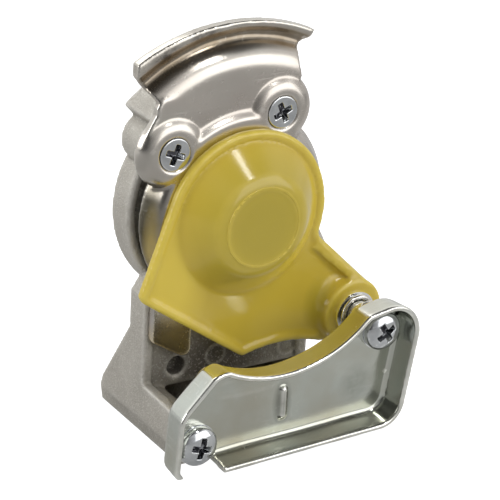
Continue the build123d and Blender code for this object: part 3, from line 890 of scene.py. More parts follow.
@dataclass(frozen=True)
class Finish:
    """One finish: its colours, and how its surface varies."""

    name: str
    colour: Point3
    shade: Point3
    edge: Point3
    metallic: float = 0.0
    gloss: Point2 = (0.3, 0.45)
    clouds: float = 55.0
    contrast: float = 0.5
    scratches: float = 0.0
    scratch_scale: float = 60.0
    grain: float = 0.0
    grain_scale: float = 900.0
    facets: float = 0.0
    bump: float = 0.1
    edge_share: float = 0.5
    hollow_shade_share: float = 0.5
    reach: float = 0.03
    glow: float = 0.0
    # Local tints: real stains and scuffs, and painted shade, painted light and painted reflections.
    stains_and_painted_light: tuple[LocalTint | RingTint, ...] = ()

    HOLLOW_SHADE_TONE = 0.35
    SCRATCH_TINT = 0.35
    SCRATCH_DULLING = 0.12
    SCRATCH_DEPTH = 0.25
    FACET_SHINE = 0.18
    CLOUD_HEIGHT = 0.25
    LEAST_ROUGHNESS = 0.05
    RELIEF = 0.0004

    def build(self, effects: SharedEffects) -> Material:
        """Makes the material.

        Args:
            effects: The shared node groups.

        Returns:
            The material, named after the finish.
        """
        material, bench, shader = principled(self.name)
        where = bench.add("ShaderNodeTexCoord").outputs["Object"]
        point = bench.add("ShaderNodeNewGeometry").outputs["Pointiness"]
        mottle = {"Scale": self.clouds, "Contrast": self.contrast}
        cloud = bench.use(effects.mottle, where, **mottle)["Cloud"]
        wear_and_shading = bench.use(effects.wear_and_shading, where, Pointiness=point, Reach=self.reach)
        lines = {"Scale": self.scratch_scale, "Cover": self.scratches}
        marks = bench.use(effects.scratches, where, **lines)["Mask"]
        grain = bench.use(effects.grain, where, Scale=self.grain_scale)

        colour = bench.blend(cloud, self.shade, self.colour)
        # Lays the local tints, painted shade, light and reflections among them.
        for tint in self.stains_and_painted_light:
            colour = tint.lay(bench, where, colour)
        # Painted shade: hollows darken towards a share of the shade colour.
        hollows = bench.product(wear_and_shading["Hollows"], self.hollow_shade_share)
        colour = bench.blend(hollows, colour, [self.HOLLOW_SHADE_TONE * part for part in self.shade])
        # Lighter edges: rubbed wear, and a painted highlight along rims and ridges.
        colour = bench.blend(bench.product(wear_and_shading["Edges"], self.edge_share), colour, self.edge)
        if self.facets:
            colour = bench.blend(bench.product(grain["Facets"], self.facets), colour, self.edge)
        colour = bench.blend(bench.product(marks, self.SCRATCH_TINT), colour, self.edge)
        # Painted glow: the plastic sends its own colour to glossy rays, so nearby metal mirrors it
        # brighter.
        if self.glow:
            mirrored = bench.add("ShaderNodeLightPath").outputs["Is Glossy Ray"]
            glow = bench.product(mirrored, self.glow)
            bench.fill(shader, {"Emission Color": colour, "Emission Strength": glow})

        smooth, dull = self.gloss
        rough = bench.spread(cloud, 0.0, 1.0, dull, smooth)
        rough = bench.math("ADD", rough, bench.product(marks, self.SCRATCH_DULLING))
        if self.facets:
            shine = bench.product(grain["Facets"], self.FACET_SHINE)
            rough = bench.math("SUBTRACT", rough, shine)
        rough = bench.math("MAXIMUM", rough, self.LEAST_ROUGHNESS)

        height = bench.product(grain["Height"], self.grain)
        height = bench.math("SUBTRACT", height, bench.product(marks, self.SCRATCH_DEPTH))
        height = bench.math("ADD", height, bench.product(cloud, self.CLOUD_HEIGHT))
        relief = {"Strength": self.bump, "Distance": self.RELIEF, "Height": height}
        normal = bench.add("ShaderNodeBump", relief).outputs[0]
        surface = {"Base Color": colour, "Metallic": self.metallic, "Roughness": rough}
        bench.fill(shader, {**surface, "Normal": normal})
        return material


CAST_METAL = Finish(
    "cast_aluminium",
    colour=(0.52, 0.495, 0.44),
    shade=(0.41, 0.385, 0.34),
    edge=(0.72, 0.70, 0.65),
    metallic=0.45,
    gloss=(0.45, 0.6),
    clouds=60.0,
    contrast=0.4,
    grain=1.0,
    grain_scale=1150.0,
    facets=0.32,
    bump=0.8,
    edge_share=0.6,
    hollow_shade_share=0.8,
    stains_and_painted_light=(
        # Painted shade inside the foot's hollow.
        LocalTint((-3.0, 5.0, -50.0), (28.0, 16.0, 18.0), (0.085, 0.07, 0.055), 0.92, 0.1),
        # Painted shade along the lower band of the foot's left wall.
        LocalTint((-30.0, 6.0, -68.5), (8.0, 32.0, 9.0), (0.30, 0.285, 0.25), 0.8, 0.2),
    ),
)
# Painted dark reflection in the claw's trough, which also hides a lamp's reflection there.
TROUGH_PAINTED_REFLECTION = RingTint((48.6, 54.3), 0.7, (0.20, 0.155, 0.10), 0.92)
# Duller lip: partly its matte face's own tone, partly painted shade over the lamp's highlight.
LIP_TONE_AND_PAINTED_SHADE = RingTint((55.0, 70.0), 0.5, (0.40, 0.38, 0.33), 0.75)
# Dark marks on the lip: real scuffs, and painted dark reflection.
LIP_SCUFFS_AND_PAINTED_REFLECTION = (
    LocalTint((-25.0, 5.0, 49.0), (7.0, 4.0, 3.4), (0.07, 0.06, 0.05), 0.95, 0.8),
    LocalTint((-12.0, 6.0, 53.0), (6.0, 4.0, 2.6), (0.07, 0.055, 0.045), 0.95, 0.8),
)
SKIRT_SHADE = LocalTint((-29.0, 5.0, -4.0), (7.0, 10.0, 26.0), (0.10, 0.085, 0.045), 0.95, 0.1)
# Painted reflection of the yellow cover on the skirt.
SKIRT_PAINTED_REFLECTION = LocalTint((-27.6, 3.4, -7.0), (3.4, 4.0, 15.0), (0.78, 0.60, 0.22), 0.7, 0.1)
# Painted reflection of the yellow cover on the tab.
TAB_PAINTED_REFLECTION = LocalTint((-21.0, 2.0, -39.0), (11.0, 5.0, 12.0), (0.86, 0.66, 0.24), 0.85, 0.2)
CLAW_METAL = Finish(
    "zinc_claw",
    colour=(0.53, 0.505, 0.455),
    shade=(0.44, 0.395, 0.355),
    edge=(0.76, 0.73, 0.68),
    metallic=1.0,
    gloss=(0.20, 0.30),
    clouds=42.0,
    contrast=0.45,
    scratches=0.45,
    scratch_scale=45.0,
    grain=0.15,
    grain_scale=700.0,
    bump=0.10,
    edge_share=0.4,
    hollow_shade_share=0.3,
    stains_and_painted_light=(TROUGH_PAINTED_REFLECTION, LIP_TONE_AND_PAINTED_SHADE, *LIP_SCUFFS_AND_PAINTED_REFLECTION, SKIRT_SHADE, SKIRT_PAINTED_REFLECTION, TAB_PAINTED_REFLECTION),
)
BRACKET_METAL = Finish(
    "zinc_bracket",
    colour=(0.50, 0.525, 0.48),
    shade=(0.42, 0.405, 0.335),
    edge=(0.88, 0.87, 0.82),
    metallic=1.0,
    gloss=(0.15, 0.25),
    clouds=38.0,
    contrast=0.5,
    scratches=0.5,
    scratch_scale=40.0,
    grain=0.2,
    grain_scale=800.0,
    bump=0.12,
    edge_share=0.7,
    hollow_shade_share=0.12,
    stains_and_painted_light=(
        # Painted shade on both sides of the stiffener.
        LocalTint((5.0, -18.6, -52.6), (3.6, 2.4, 8.0), (0.17, 0.175, 0.15), 0.7, 0.0),
        # A darker patch on the web's lower right.
        LocalTint((31.0, -18.6, -52.0), (7.0, 2.4, 7.0), (0.24, 0.25, 0.21), 0.5, 0.3),
    ),
)
RECESS_SHADES = tuple(
    LocalTint((x, depth, height), size, (0.09, 0.09, 0.10), 1.0, 0.0)
    for screws, depth, size in (
        (PADS, 2.3, (3.6, 2.2, 3.6)),
        ((PIVOT, BRACKET_CORNER), -21.4, (3.8, 2.2, 3.8)),
    )
    for x, height in screws
)
SCREW_METAL = Finish(
    "bright_screw",
    colour=(0.62, 0.635, 0.64),
    shade=(0.44, 0.455, 0.47),
    edge=(0.93, 0.94, 0.94),
    metallic=1.0,
    gloss=(0.07, 0.15),
    clouds=220.0,
    scratches=0.5,
    scratch_scale=160.0,
    bump=0.08,
    hollow_shade_share=0.85,
    reach=0.05,
    stains_and_painted_light=RECESS_SHADES,
)
SPRING_METAL = Finish(
    "spring_steel",
    colour=(0.62, 0.61, 0.59),
    shade=(0.34, 0.33, 0.31),
    edge=(0.9, 0.89, 0.87),
    metallic=1.0,
    gloss=(0.16, 0.30),
    clouds=260.0,
    scratches=0.6,
    scratch_scale=200.0,
    bump=0.08,
)
COVER_PLASTIC = Finish(
    "mustard_plastic",
    colour=(0.66, 0.495, 0.062),
    shade=(0.60, 0.44, 0.050),
    edge=(0.84, 0.67, 0.12),
    gloss=(0.12, 0.18),
    clouds=34.0,
    contrast=0.35,
    scratches=0.1,
    scratch_scale=55.0,
    grain=0.10,
    grain_scale=1400.0,
    bump=0.06,
    edge_share=0.65,
    hollow_shade_share=0.0,
    # Painted glow, seen only in reflections.
    glow=0.35,
    stains_and_painted_light=(
        # Painted light on the cover's left flat.
        LocalTint((-24.0, -1.0, -16.0), (13.0, 7.0, 24.0), (0.82, 0.63, 0.085), 0.8, 0.0),
        # Painted shade over the dome.
        LocalTint((0.0, -8.0, 0.0), (27.0, 11.0, 27.0), (0.46, 0.365, 0.045), 0.85, 0.0),
        # Painted shade left of the pivot boss.
        LocalTint((26.8, -3.0, -32.0), (6.0, 5.0, 9.5), (0.43, 0.335, 0.035), 0.75, 0.0),
    ),
)
RUBBER = Finish(
    "seal_rubber",
    colour=(0.035, 0.035, 0.036),
    shade=(0.022, 0.022, 0.023),
    edge=(0.09, 0.09, 0.09),
    gloss=(0.5, 0.68),
    clouds=120.0,
    scratches=0.4,
    scratch_scale=120.0,
    grain=0.5,
    grain_scale=1500.0,
    bump=0.2,
)
BRASS = Finish(
    "seat_brass",
    colour=(0.72, 0.52, 0.24),
    shade=(0.52, 0.36, 0.16),
    edge=(0.9, 0.74, 0.42),
    metallic=1.0,
    gloss=(0.22, 0.36),
    clouds=180.0,
    scratches=0.5,
    scratch_scale=150.0,
    bump=0.1,
)
VALVE_PLASTIC = Finish(
    "valve_plastic",
    colour=(0.10, 0.10, 0.105),
    shade=(0.075, 0.075, 0.08),
    edge=(0.22, 0.22, 0.22),
    gloss=(0.38, 0.5),
    clouds=120.0,
    grain=0.2,
    grain_scale=1300.0,
    bump=0.1,
)


class ShapeTree:
    """Geometry nodes with named inputs that end in one plain mesh with a finish."""

    def __init__(self, name: str, inputs: Mapping[str, str]) -> None:
        """Starts the tree.

        Args:
            name: The tree's name.
            inputs: Name and kind of each input besides the geometry and the finish.
        """
        self.tree = bpy.data.node_groups.new(name, "GeometryNodeTree")
        face = self.tree.interface
        self.inputs = {}
        for label, kind in {"Geometry": "Geometry", **inputs, "Finish": "Material"}.items():
            socket = face.new_socket(name=label, in_out="INPUT", socket_type=f"NodeSocket{kind}")
            self.inputs[label] = socket.identifier
        face.new_socket(name="Geometry", in_out="OUTPUT", socket_type="NodeSocketGeometry")
        self.bench = NodeBench(self.tree)
        self.given = self.bench.add("NodeGroupInput").outputs

    def close(self, geometry: Socket) -> None:
        """Realizes the copies, sets their finish and ends the tree.

        Args:
            geometry: The last geometry.
        """
        solid = self.bench.add("GeometryNodeRealizeInstances", {0: geometry}).outputs[0]
        feeds = {"Geometry": solid, "Material": self.given["Finish"]}
        coloured = self.bench.add("GeometryNodeSetMaterial", feeds).outputs[0]
        self.bench.add("NodeGroupOutput", {0: coloured})

    def run(self, made: Shape, **values: object) -> Shape:
        """Runs the tree on an object and keeps the result.

        Args:
            made: The object.
            values: The tree's inputs by name.

        Returns:
            The same object as a plain mesh.
        """
        modifier = made.modifiers.new("tree", "NODES")
        modifier.node_group = self.tree
        for label, value in values.items():
            modifier[self.inputs[label]] = value
        return settle(made)


class PlacingTree(ShapeTree):
    """Sets copies of one shape on points."""

    def __init__(self) -> None:
        """Builds the tree once."""
        super().__init__("SetOnPoints", {"Shape": "Object"})
        bench = self.bench
        shape = bench.add("GeometryNodeObjectInfo", {"Object": self.given["Shape"]})
        turn = bench.add("GeometryNodeInputNamedAttribute", {"Name": "turn"}, data_type="FLOAT")
        spin = bench.add("ShaderNodeCombineXYZ", {"Y": turn.outputs["Attribute"]})
        feeds = {
            "Points": self.given["Geometry"],
            "Instance": shape.outputs["Geometry"],
            "Rotation": spin.outputs[0],
        }
        self.close(bench.add("GeometryNodeInstanceOnPoints", feeds).outputs[0])

    def lay(
        self, name: str, shape: Shape, spots: Sequence[tuple[Vector, float]], finish: Material
    ) -> Shape:
        """Sets the shape on each spot.

        Args:
            name: Name of the result.
            shape: The shape at the origin, which is used up.
            spots: Each place in metres with its turn in degrees.
            finish: The copies' material.

        Returns:
            One plain mesh of all the copies.
        """
        mesh = bpy.data.meshes.new(name)
        mesh.from_pydata([tuple(spot) for spot, _ in spots], [], [])
        turns = mesh.attributes.new("turn", "FLOAT", "POINT")
        turns.data.foreach_set("value", [math.radians(turn) for _, turn in spots])
        made = self.run(show(name, mesh), Shape=shape, Finish=finish)
        discard(shape)
        return made


class CoilTree(ShapeTree):
    """Winds a wire, with a slow rise at both ends or an even one."""

    LENGTHS = ("Radius", "Wire", "Height")
    POINTS = 260
    SIDES = 14

    def __init__(self) -> None:
        """Builds the tree once."""
        sizes = dict.fromkeys((*self.LENGTHS, "Turns", "Even"), "Float")
        super().__init__("WoundWire", sizes)
        bench, size = self.bench, self.given
        line = bench.add("GeometryNodeCurvePrimitiveLine").outputs[0]
        points = {"Curve": line, "Count": self.POINTS}
        line = bench.add("GeometryNodeResampleCurve", points).outputs[0]
        along = bench.add("GeometryNodeSplineParameter").outputs["Factor"]
        angle = bench.product(along, size["Turns"], 2.0 * math.pi)
        slow = {"interpolation_type": "SMOOTHERSTEP"}
        eased = bench.add("ShaderNodeMapRange", {"Value": along}, **slow).outputs[0]
        eased = bench.product(eased, bench.math("SUBTRACT", 1.0, size["Even"]))
        share = bench.math("ADD", bench.product(along, size["Even"]), eased)
        travel = bench.math("SUBTRACT", size["Height"], size["Wire"])
        thick = bench.product(size["Wire"], 0.5)
        spot = {
            "X": bench.product(bench.math("COSINE", angle), size["Radius"]),
            "Y": bench.product(bench.math("SINE", angle), size["Radius"]),
            "Z": bench.math("ADD", bench.product(share, travel), thick),
        }
        helix = {"Geometry": line, "Position": bench.add("ShaderNodeCombineXYZ", spot).outputs[0]}
        ring = {"Resolution": self.SIDES, "Radius": thick}
        tube = {
            "Curve": bench.add("GeometryNodeSetPosition", helix).outputs[0],
            "Profile Curve": bench.add("GeometryNodeCurvePrimitiveCircle", ring).outputs[0],
            "Fill Caps": True,
        }
        self.close(bench.add("GeometryNodeCurveToMesh", tube).outputs[0])

    def wind(
        self, name: str, sizes: Sequence[float], stand: Matrix, finish: Material, even: float = 0.0
    ) -> Shape:
        """Winds one wire.

        Args:
            name: Name of the result.
            sizes: Radius, wire and height in millimetres, and the number of turns.
            stand: Where the coil stands; it rises along its own Z.
            finish: The wire's material.
            even: 1 for a plain helix, 0 for slow ends.

        Returns:
            A plain mesh, in place.
        """
        *lengths, turns = sizes
        made = show(name, bpy.data.meshes.new(name))
        values = {label: size * MM for label, size in zip(self.LENGTHS, lengths)}
        self.run(made, **values, Turns=turns, Even=even, Finish=finish)
        made.data.transform(stand)
        made.data.shade_smooth()
        return made


@dataclass
class CastHousing:
    """The cast body, its soft edges, and the seam that its mould left on the foot."""

    voxel: float = 0.62
    passes: int = 3
    keep: float = 0.55
    side: Point2 = (-28.4, -27.6)
    seam_height: float = -61.8
    seam_fade: Point2 = (-0.5, 0.3)
    seam_step: float = 0.25
    lean: float = 0.14

    def build(self, frame: dict, finish: Material) -> None:
        """Softens the casting and adds its seam.

        Args:
            frame: The loaded frame.
            finish: The cast metal.
        """
        body = merged_copy(frame["nodes"]["housing"], "cast_housing")
        fuse(body, self.voxel, self.passes)
        for vertex in body.data.vertices:
            x, _, height = drawing(vertex.co)
            share = 1.0 - smooth_step(*self.side, x)
            share *= 1.0 - smooth_step(*self.seam_fade, height - self.seam_height)
            inwards = self.seam_step + (self.seam_height - height) * self.lean
            vertex.co.x += share * inwards * MM
        thin = body.modifiers.new("thin", "DECIMATE")
        thin.ratio = self.keep
        settle(body)
        body.data.shade_smooth()
        dress(body, Body.HOUSING, finish, ["housing"])


@dataclass
class ClawPlate:
    """The pressed claw: annulus, skirt, shoulder, tab, pads, panel and hooked lip.

    Sizes with no other unit are radii about the seal's axis.
    """

    sheet: float = 2.8
    passes: int = 7
    opening: float = 20.9
    opening_round: float = 0.3
    annulus: float = 27.5
    annulus_arc: Point2 = (53.0, 143.0)
    skirt_start: float = 27.1
    skirt_back: float = 25.9
    skirt_end: float = 31.0
    skirt_depth: float = 7.2
    skirt_rounds: Point3 = (3.0, 0.4, 0.6)
    skirt_arc: Point2 = (142.0, 414.0)
    ring_step: float = 1.5
    claw_arc: Point2 = (64.5, 127.5)
    claw_step: float = 1.0
    claw_start: float = 25.6
    step_front: Point2 = (29.0, 31.0)
    step_back: Point2 = (28.2, 29.7)
    step_round: float = 1.4
    panel_depth: float = 1.6
    trough_front: Point2 = (47.6, 50.9)
    trough_back: Point2 = (46.0, 50.0)
    trough_dip: float = 1.4
    trough_rounds: Point2 = (7.2, 2.2)
    back_rounds: Ramp = (2.4, 1.2, 1.2, 1.0)
    lip_start: float = 54.4
    lip_round: float = 2.0
    lip_depth: float = 6.4
    lip_rise: float = 0.8
    lip_end: float = 64.0
    lip_centre: Point2 = (-0.9, -7.3)
    lip_radius: float = 63.1
    pad_top: float = 9.7
    pad_round: float = 4.6
    pad_foot: float = 11.2
    pad_hollow: float = 7.9
    collar_room: float = 25.85
    room_end: float = 9.0
    head_radius: float = 5.4
    hole_radius: float = 2.8
    drill_start: float = -2.0
    tab_depth: float = 1.8
    trim: Point2 = (-5.0, 20.0)
    lip_fade: Point2 = (50.0, 54.0)
    lip_marks: Waves = Waves((0.12, 0.12), 3.0, 0.22)
    panel_fade: Point2 = (31.0, 36.0)
    panel_waves: Waves = Waves((0.06, 0.06), 9.0, 0.30)
    shoulder: tuple[Point2, ...] = (
        (-16.0, 27.0),
        (-16.0, 38.0),
        (-27.2, 37.6),
        (-28.7, 35.2),
        (-28.8, 33.2),
        (-32.0, 28.0),
        PADS[0],
    )
    tab: tuple[Point3, ...] = (
        (-27.6, -10.0, 0.0), (-27.6, -36.0, 2.2), (-14.4, -44.2, 2.2), (-14.4, -22.0, 0.0),
    )
    left_trim: tuple[Point2, ...] = ((-33.2, 41.0), (-33.2, 90.0), (-90.0, 90.0), (-90.0, 41.0))
    right_trim: tuple[Point2, ...] = (
        (24.8, 48.6), (20.6, 47.4), (18.0, 45.6), (17.5, 42.2), (19.0, 36.6), (21.4, 31.2),
        (45.0, 31.2), (45.0, 48.6),
    )

    def build(self, finish: Material) -> None:
        """Builds the plate as one soft-edged sheet and dresses it.

        Args:
            finish: The zinc plating.
        """
        solids = [self._skirt(), self._annulus(), self._claw(), *self._flats()]
        cutters = self._hollows()
        solids = [carve(solid, cutters) for solid in solids]
        discard(*cutters)
        plate = fuse(join("claw_sheet", solids), SHEET_VOXEL, self.passes)
        press(plate, self._dents)
        dress(plate, Body.HOUSING, finish, ["claw_plate"])

    def _skirt(self) -> Shape:
        """Turns the skirt around the collar, open where the claw starts.

        Returns:
            The skirt.
        """
        front, edge, back = self.skirt_rounds
        profile = [
            (self.opening, 0.0, self.opening_round),
            (self.skirt_start, 0.0, front),
            (self.skirt_end, self.skirt_depth, edge),
            (self.skirt_end - self.sheet, self.skirt_depth, edge),
            (self.skirt_back, self.sheet, back),
            (self.opening, self.sheet, self.opening_round),
        ]
        return revolve("skirt", round_corners(profile), arc=self.skirt_arc, step=self.ring_step)

    def _annulus(self) -> Shape:
        """Turns the flat ring below the claw.

        Returns:
            The ring.
        """
        inside, outside, back = self.opening, self.annulus, self.sheet
        profile = ((inside, 0.0), (outside, 0.0), (outside, back), (inside, back))
        return revolve("annulus", profile, arc=self.annulus_arc, step=self.ring_step)

    def _claw(self) -> Shape:
        """Turns panel, trough and lip, and trims them.

        Returns:
            The trimmed claw.
        """
        panel_back = self.panel_depth + self.sheet
        lip_front, lip_back = self.lip_depth - self.lip_rise, self.lip_depth + self.sheet
        profile = [
            (self.claw_start, 0.0, 0.0),
            (self.step_front[0], 0.0, self.step_round),
            (self.step_front[1], self.panel_depth, self.step_round),
            (self.trough_front[0], self.panel_depth, self.trough_rounds[0]),
            (self.trough_front[1], self.lip_depth + self.trough_dip, self.trough_rounds[1]),
            (self.lip_start, lip_front, self.lip_round),
            (self.lip_end, lip_front, 0.0),
            (self.lip_end, lip_back, 0.0),
            (self.trough_back[1], lip_back, self.back_rounds[0]),
            (self.trough_back[0], panel_back, self.back_rounds[1]),
            (self.step_back[1], panel_back, self.back_rounds[2]),
            (self.step_back[0], self.sheet, self.back_rounds[3]),
            (self.claw_start, self.sheet, 0.0),
        ]
        claw = revolve("claw", round_corners(profile), arc=self.claw_arc, step=self.claw_step)
        front, back = self.trim
        near, far = self.lip_radius, 2.0 * self.lip_radius
        edge = ((near, front), (far, front), (far, back), (near, back))
        trims = [
            revolve("lip_edge", edge, self.lip_centre, step=1.0),
            prism("lip_left", self.left_trim, front, back),
            prism("right_side", self.right_trim, front, back),
        ]
        carve(claw, trims)
        discard(*trims)
        return claw

    def _flats(self) -> list[Shape]:
        """Builds the shoulder, the tab and the two pads.

        Returns:
            The four solids.
        """
        back = self.panel_depth + self.sheet
        top = [
            (0.0, 0.0, 0.0),
            (self.pad_top, 0.0, self.pad_round),
            (self.pad_foot, back, 0.0),
            (0.0, back, 0.0),
        ]
        return [
            prism("shoulder", self.shoulder, self.panel_depth, back),
            prism("tab", round_corners(self.tab), self.tab_depth, self.tab_depth + self.sheet),
            *(revolve("pad", round_corners(top), centre) for centre in PADS),
        ]

    def _hollows(self) -> list[Shape]:
        """Builds cutters for the collar's room, the pads' hollows and the screw holes.

        Returns:
            The cutters.
        """
        room = (self.sheet, self.room_end)
        head, hole = self.head_radius, self.hole_radius
        drill = (
            (0.0, self.drill_start), (head - self.drill_start, self.drill_start), (head, 0.0),
            (hole, head - hole), (hole, self.room_end), (0.0, self.room_end),
        )
        cutters = [rod("collar_room", self.collar_room, room, step=FINE_STEP)]
        for centre in PADS:
            cutters.append(rod("pad_room", self.pad_hollow, room, centre))
            cutters.append(revolve("screw_hole", drill, centre))
        return cutters

    def _dents(self, x: float, _depth: float, height: float) -> float:
        """Gives the handling marks along the lip and a slow waviness of the panel.

        Args:
            x: Millimetres to the right.
            _depth: Millimetres behind the pads, which don't matter here.
            height: Millimetres above the axis.

        Returns:
            Millimetres backwards.
        """
        radius = math.hypot(x, height)
        lip = smooth_step(*self.lip_fade, radius)
        panel = smooth_step(*self.panel_fade, radius) * (1.0 - lip)
        return lip * self.lip_marks.at(x, height) + panel * self.panel_waves.at(x, height)


@dataclass
class GuideBracket:
    """The pressed tray in front, behind which the mating claw turns in.

    Corners are right, up and rounding: brow, shoulder, toe, heel and lobe. Dents are
    centre, reach, where they end in reaches, and millimetres backwards. The rim is
    inwards from the wall's two faces and down from its top.
    """

    web_back: float = -16.6
    passes: int = 4
    sheet: float = 2.0
    wall: float = 1.8
    height: float = 9.8
    flare: float = 5.0
    hem: float = 3.6
    bend: float = 2.4
    bend_parts: int = 8
    inner_bend: float = 1.7
    inner_parts: int = 6
    rim: tuple[Point2, ...] = ((0.03, 0.7), (0.15, 0.25), (0.5, 0.0))
    inner_rim: tuple[Point2, ...] = ((0.5, 0.0), (0.15, 0.25), (0.0, 0.7))
    guide: float = 39.9
    guide_ends: Point2 = (-43.6, -118.3)
    guide_rounds: Point2 = (5.0, 3.2)
    guide_steps: int = 74
    guide_kept: tuple[int, int] = (7, 71)
    round_step: float = 6.0
    corners: tuple[Point3, ...] = (
        (-22.5, -36.1, 4.0), (-32.8, -46.6, 7.0), (-34.0, -66.4, 3.6), (42.2, -64.4, 7.6),
        (48.2, -24.1, 9.2),
    )
    gap: tuple[Point2, ...] = (
        (-31.6, -62.6), (-18.4, -62.6), (-18.4, -72.0), (-40.0, -72.0), (-40.0, -65.4),
        (-31.6, -65.4),
    )
    clipped: tuple[Point2, ...] = (
        (-40.0, -65.4), (-30.4, -65.4), (-27.6, -64.4), (-18.4, -64.4), (-18.4, -72.0),
        (-40.0, -72.0),
    )
    spare: float = 2.0
    overlap: float = 0.5
    screw_hole: float = 3.3
    hole_end: float = -14.0
    stiffener: Point2 = (5.0, -52.6)
    stiffener_size: Point2 = (10.5, 2.8)
    stiffener_rise: float = 1.1
    stiffener_fade: Point2 = (-0.9, 0.5)
    waves: Waves = Waves((0.055, 0.07), 21.0, 0.45)
    web_fade: Point2 = (-22.5, -20.0)
    dent_start: float = 0.2
    dents: tuple[tuple[Point2, Point2, float, float], ...] = (
        ((30.0, -43.0), (7.0, 5.0), 1.3, 0.45),
        ((-8.0, -44.5), (11.0, 2.6), 1.2, 0.35),
    )

    def _outline(self) -> list[Point2]:
        """Draws the web's back face, anticlockwise from the guide arc's right end.

        Returns:
            The outline, with its corners rounded.
        """
        right, left = self.guide_ends
        arc = [
            (*polar(self.guide, right + (left - right) * step / self.guide_steps), 0.0)
            for step in range(*self.guide_kept)
        ]
        first = (*polar(self.guide, right), self.guide_rounds[0])
        last = (*polar(self.guide, left), self.guide_rounds[1])
        return round_corners([first, *arc, last, *self.corners], self.round_step)

    def _bend(self, radius: float, level: float, centre: float, steps: int) -> list[Point2]:
        """Draws a bend from the web up into the wall.

        Args:
            radius: Radius of the bend.
            level: How far forwards its centre lies.
            centre: How far inwards its centre lies.
            steps: Number of parts.

        Returns:
            Its points.
        """
        points = []
        for step in range(steps + 1):
            right, up = polar(radius, DOWN - (90.0 - self.flare) * step / steps)
            points.append((centre + right, level + up))
        return points

    def _section(self) -> list[Point2]:
        """Draws wall and bend, as distance inwards and forwards of the web's back.

        Returns:
            The open section.
        """
        lean = math.tan(math.radians(self.flare))
        outer = self.bend * (1.0 / math.cos(math.radians(self.flare)) - lean)
        inner = outer + self.inner_bend - (self.bend - self.wall)
        left = -self.height * lean
        right = left + self.wall
        level = self.sheet + self.inner_bend
        return [
            (self.hem, 0.0),
            *self._bend(self.bend, self.bend, outer, self.bend_parts),
            *((left + inwards, self.height - down) for inwards, down in self.rim),
            *((right - inwards, self.height - down) for inwards, down in self.inner_rim),
            *reversed(self._bend(self.inner_bend, level, inner, self.inner_parts)),
            (self.hem, self.sheet),
        ]

    def _tray(self) -> Shape:
        """Runs the section around the outline and closes the web.

        Returns:
            The closed tray.
        """
        outline, section = self._outline(), self._section()
        count, size = len(outline), len(section)
        points = []
        for index, (x, z) in enumerate(outline):
            before, after = outline[index - 1], outline[(index + 1) % count]
            along = Vector((after[0] - before[0], after[1] - before[1])).normalized()
            for inwards, forwards in section:
                spot = (x - along.y * inwards, self.web_back - forwards, z + along.x * inwards)
                points.append(place(*spot))
        faces = belt(count, size, closed=False)
        for end in (0, size - 1):
            faces.append([index * size + end for index in range(count)])
        return mesh_object("guide_sheet", points, faces)

    def build(self, finish: Material) -> None:
        """Builds the bracket as one soft-edged sheet and dresses it.

        Args:
            finish: The zinc plating.
        """
        tray = self._tray()
        front = self.web_back - self.height - self.spare
        web = self.web_back - self.sheet
        cutters = [
            prism("opening", self.gap, front, web),
            prism("web_corner", self.clipped, web - self.overlap, self.web_back + self.spare),
        ]
        for spot in (PIVOT, BRACKET_CORNER):
            cutters.append(rod("hole", self.screw_hole, (front, self.hole_end), spot))
        carve(tray, cutters)
        discard(*cutters)
        fuse(tray, SHEET_VOXEL, self.passes)
        press(tray, self._dents)
        dress(tray, Body.HOUSING, finish, ["guide_bracket"])

    def _dents(self, x: float, depth: float, height: float) -> float:
        """Gives the stiffener, soft dents and slow waviness of the web.

        Args:
            x: Millimetres to the right.
            depth: Millimetres behind the pads.
            height: Millimetres above the axis.

        Returns:
            Millimetres backwards.
        """
        edge = slot_distance(x, height, self.stiffener, *self.stiffener_size)
        moved = -self.stiffener_rise * (1.0 - smooth_step(*self.stiffener_fade, edge))
        for (right, up), (wide, tall), end, deep in self.dents:
            away = math.hypot((x - right) / wide, (height - up) / tall)
            moved += deep * (1.0 - smooth_step(self.dent_start, end, away))
        moved += self.waves.at(x, height)
        return smooth_step(*self.web_fade, depth) * moved


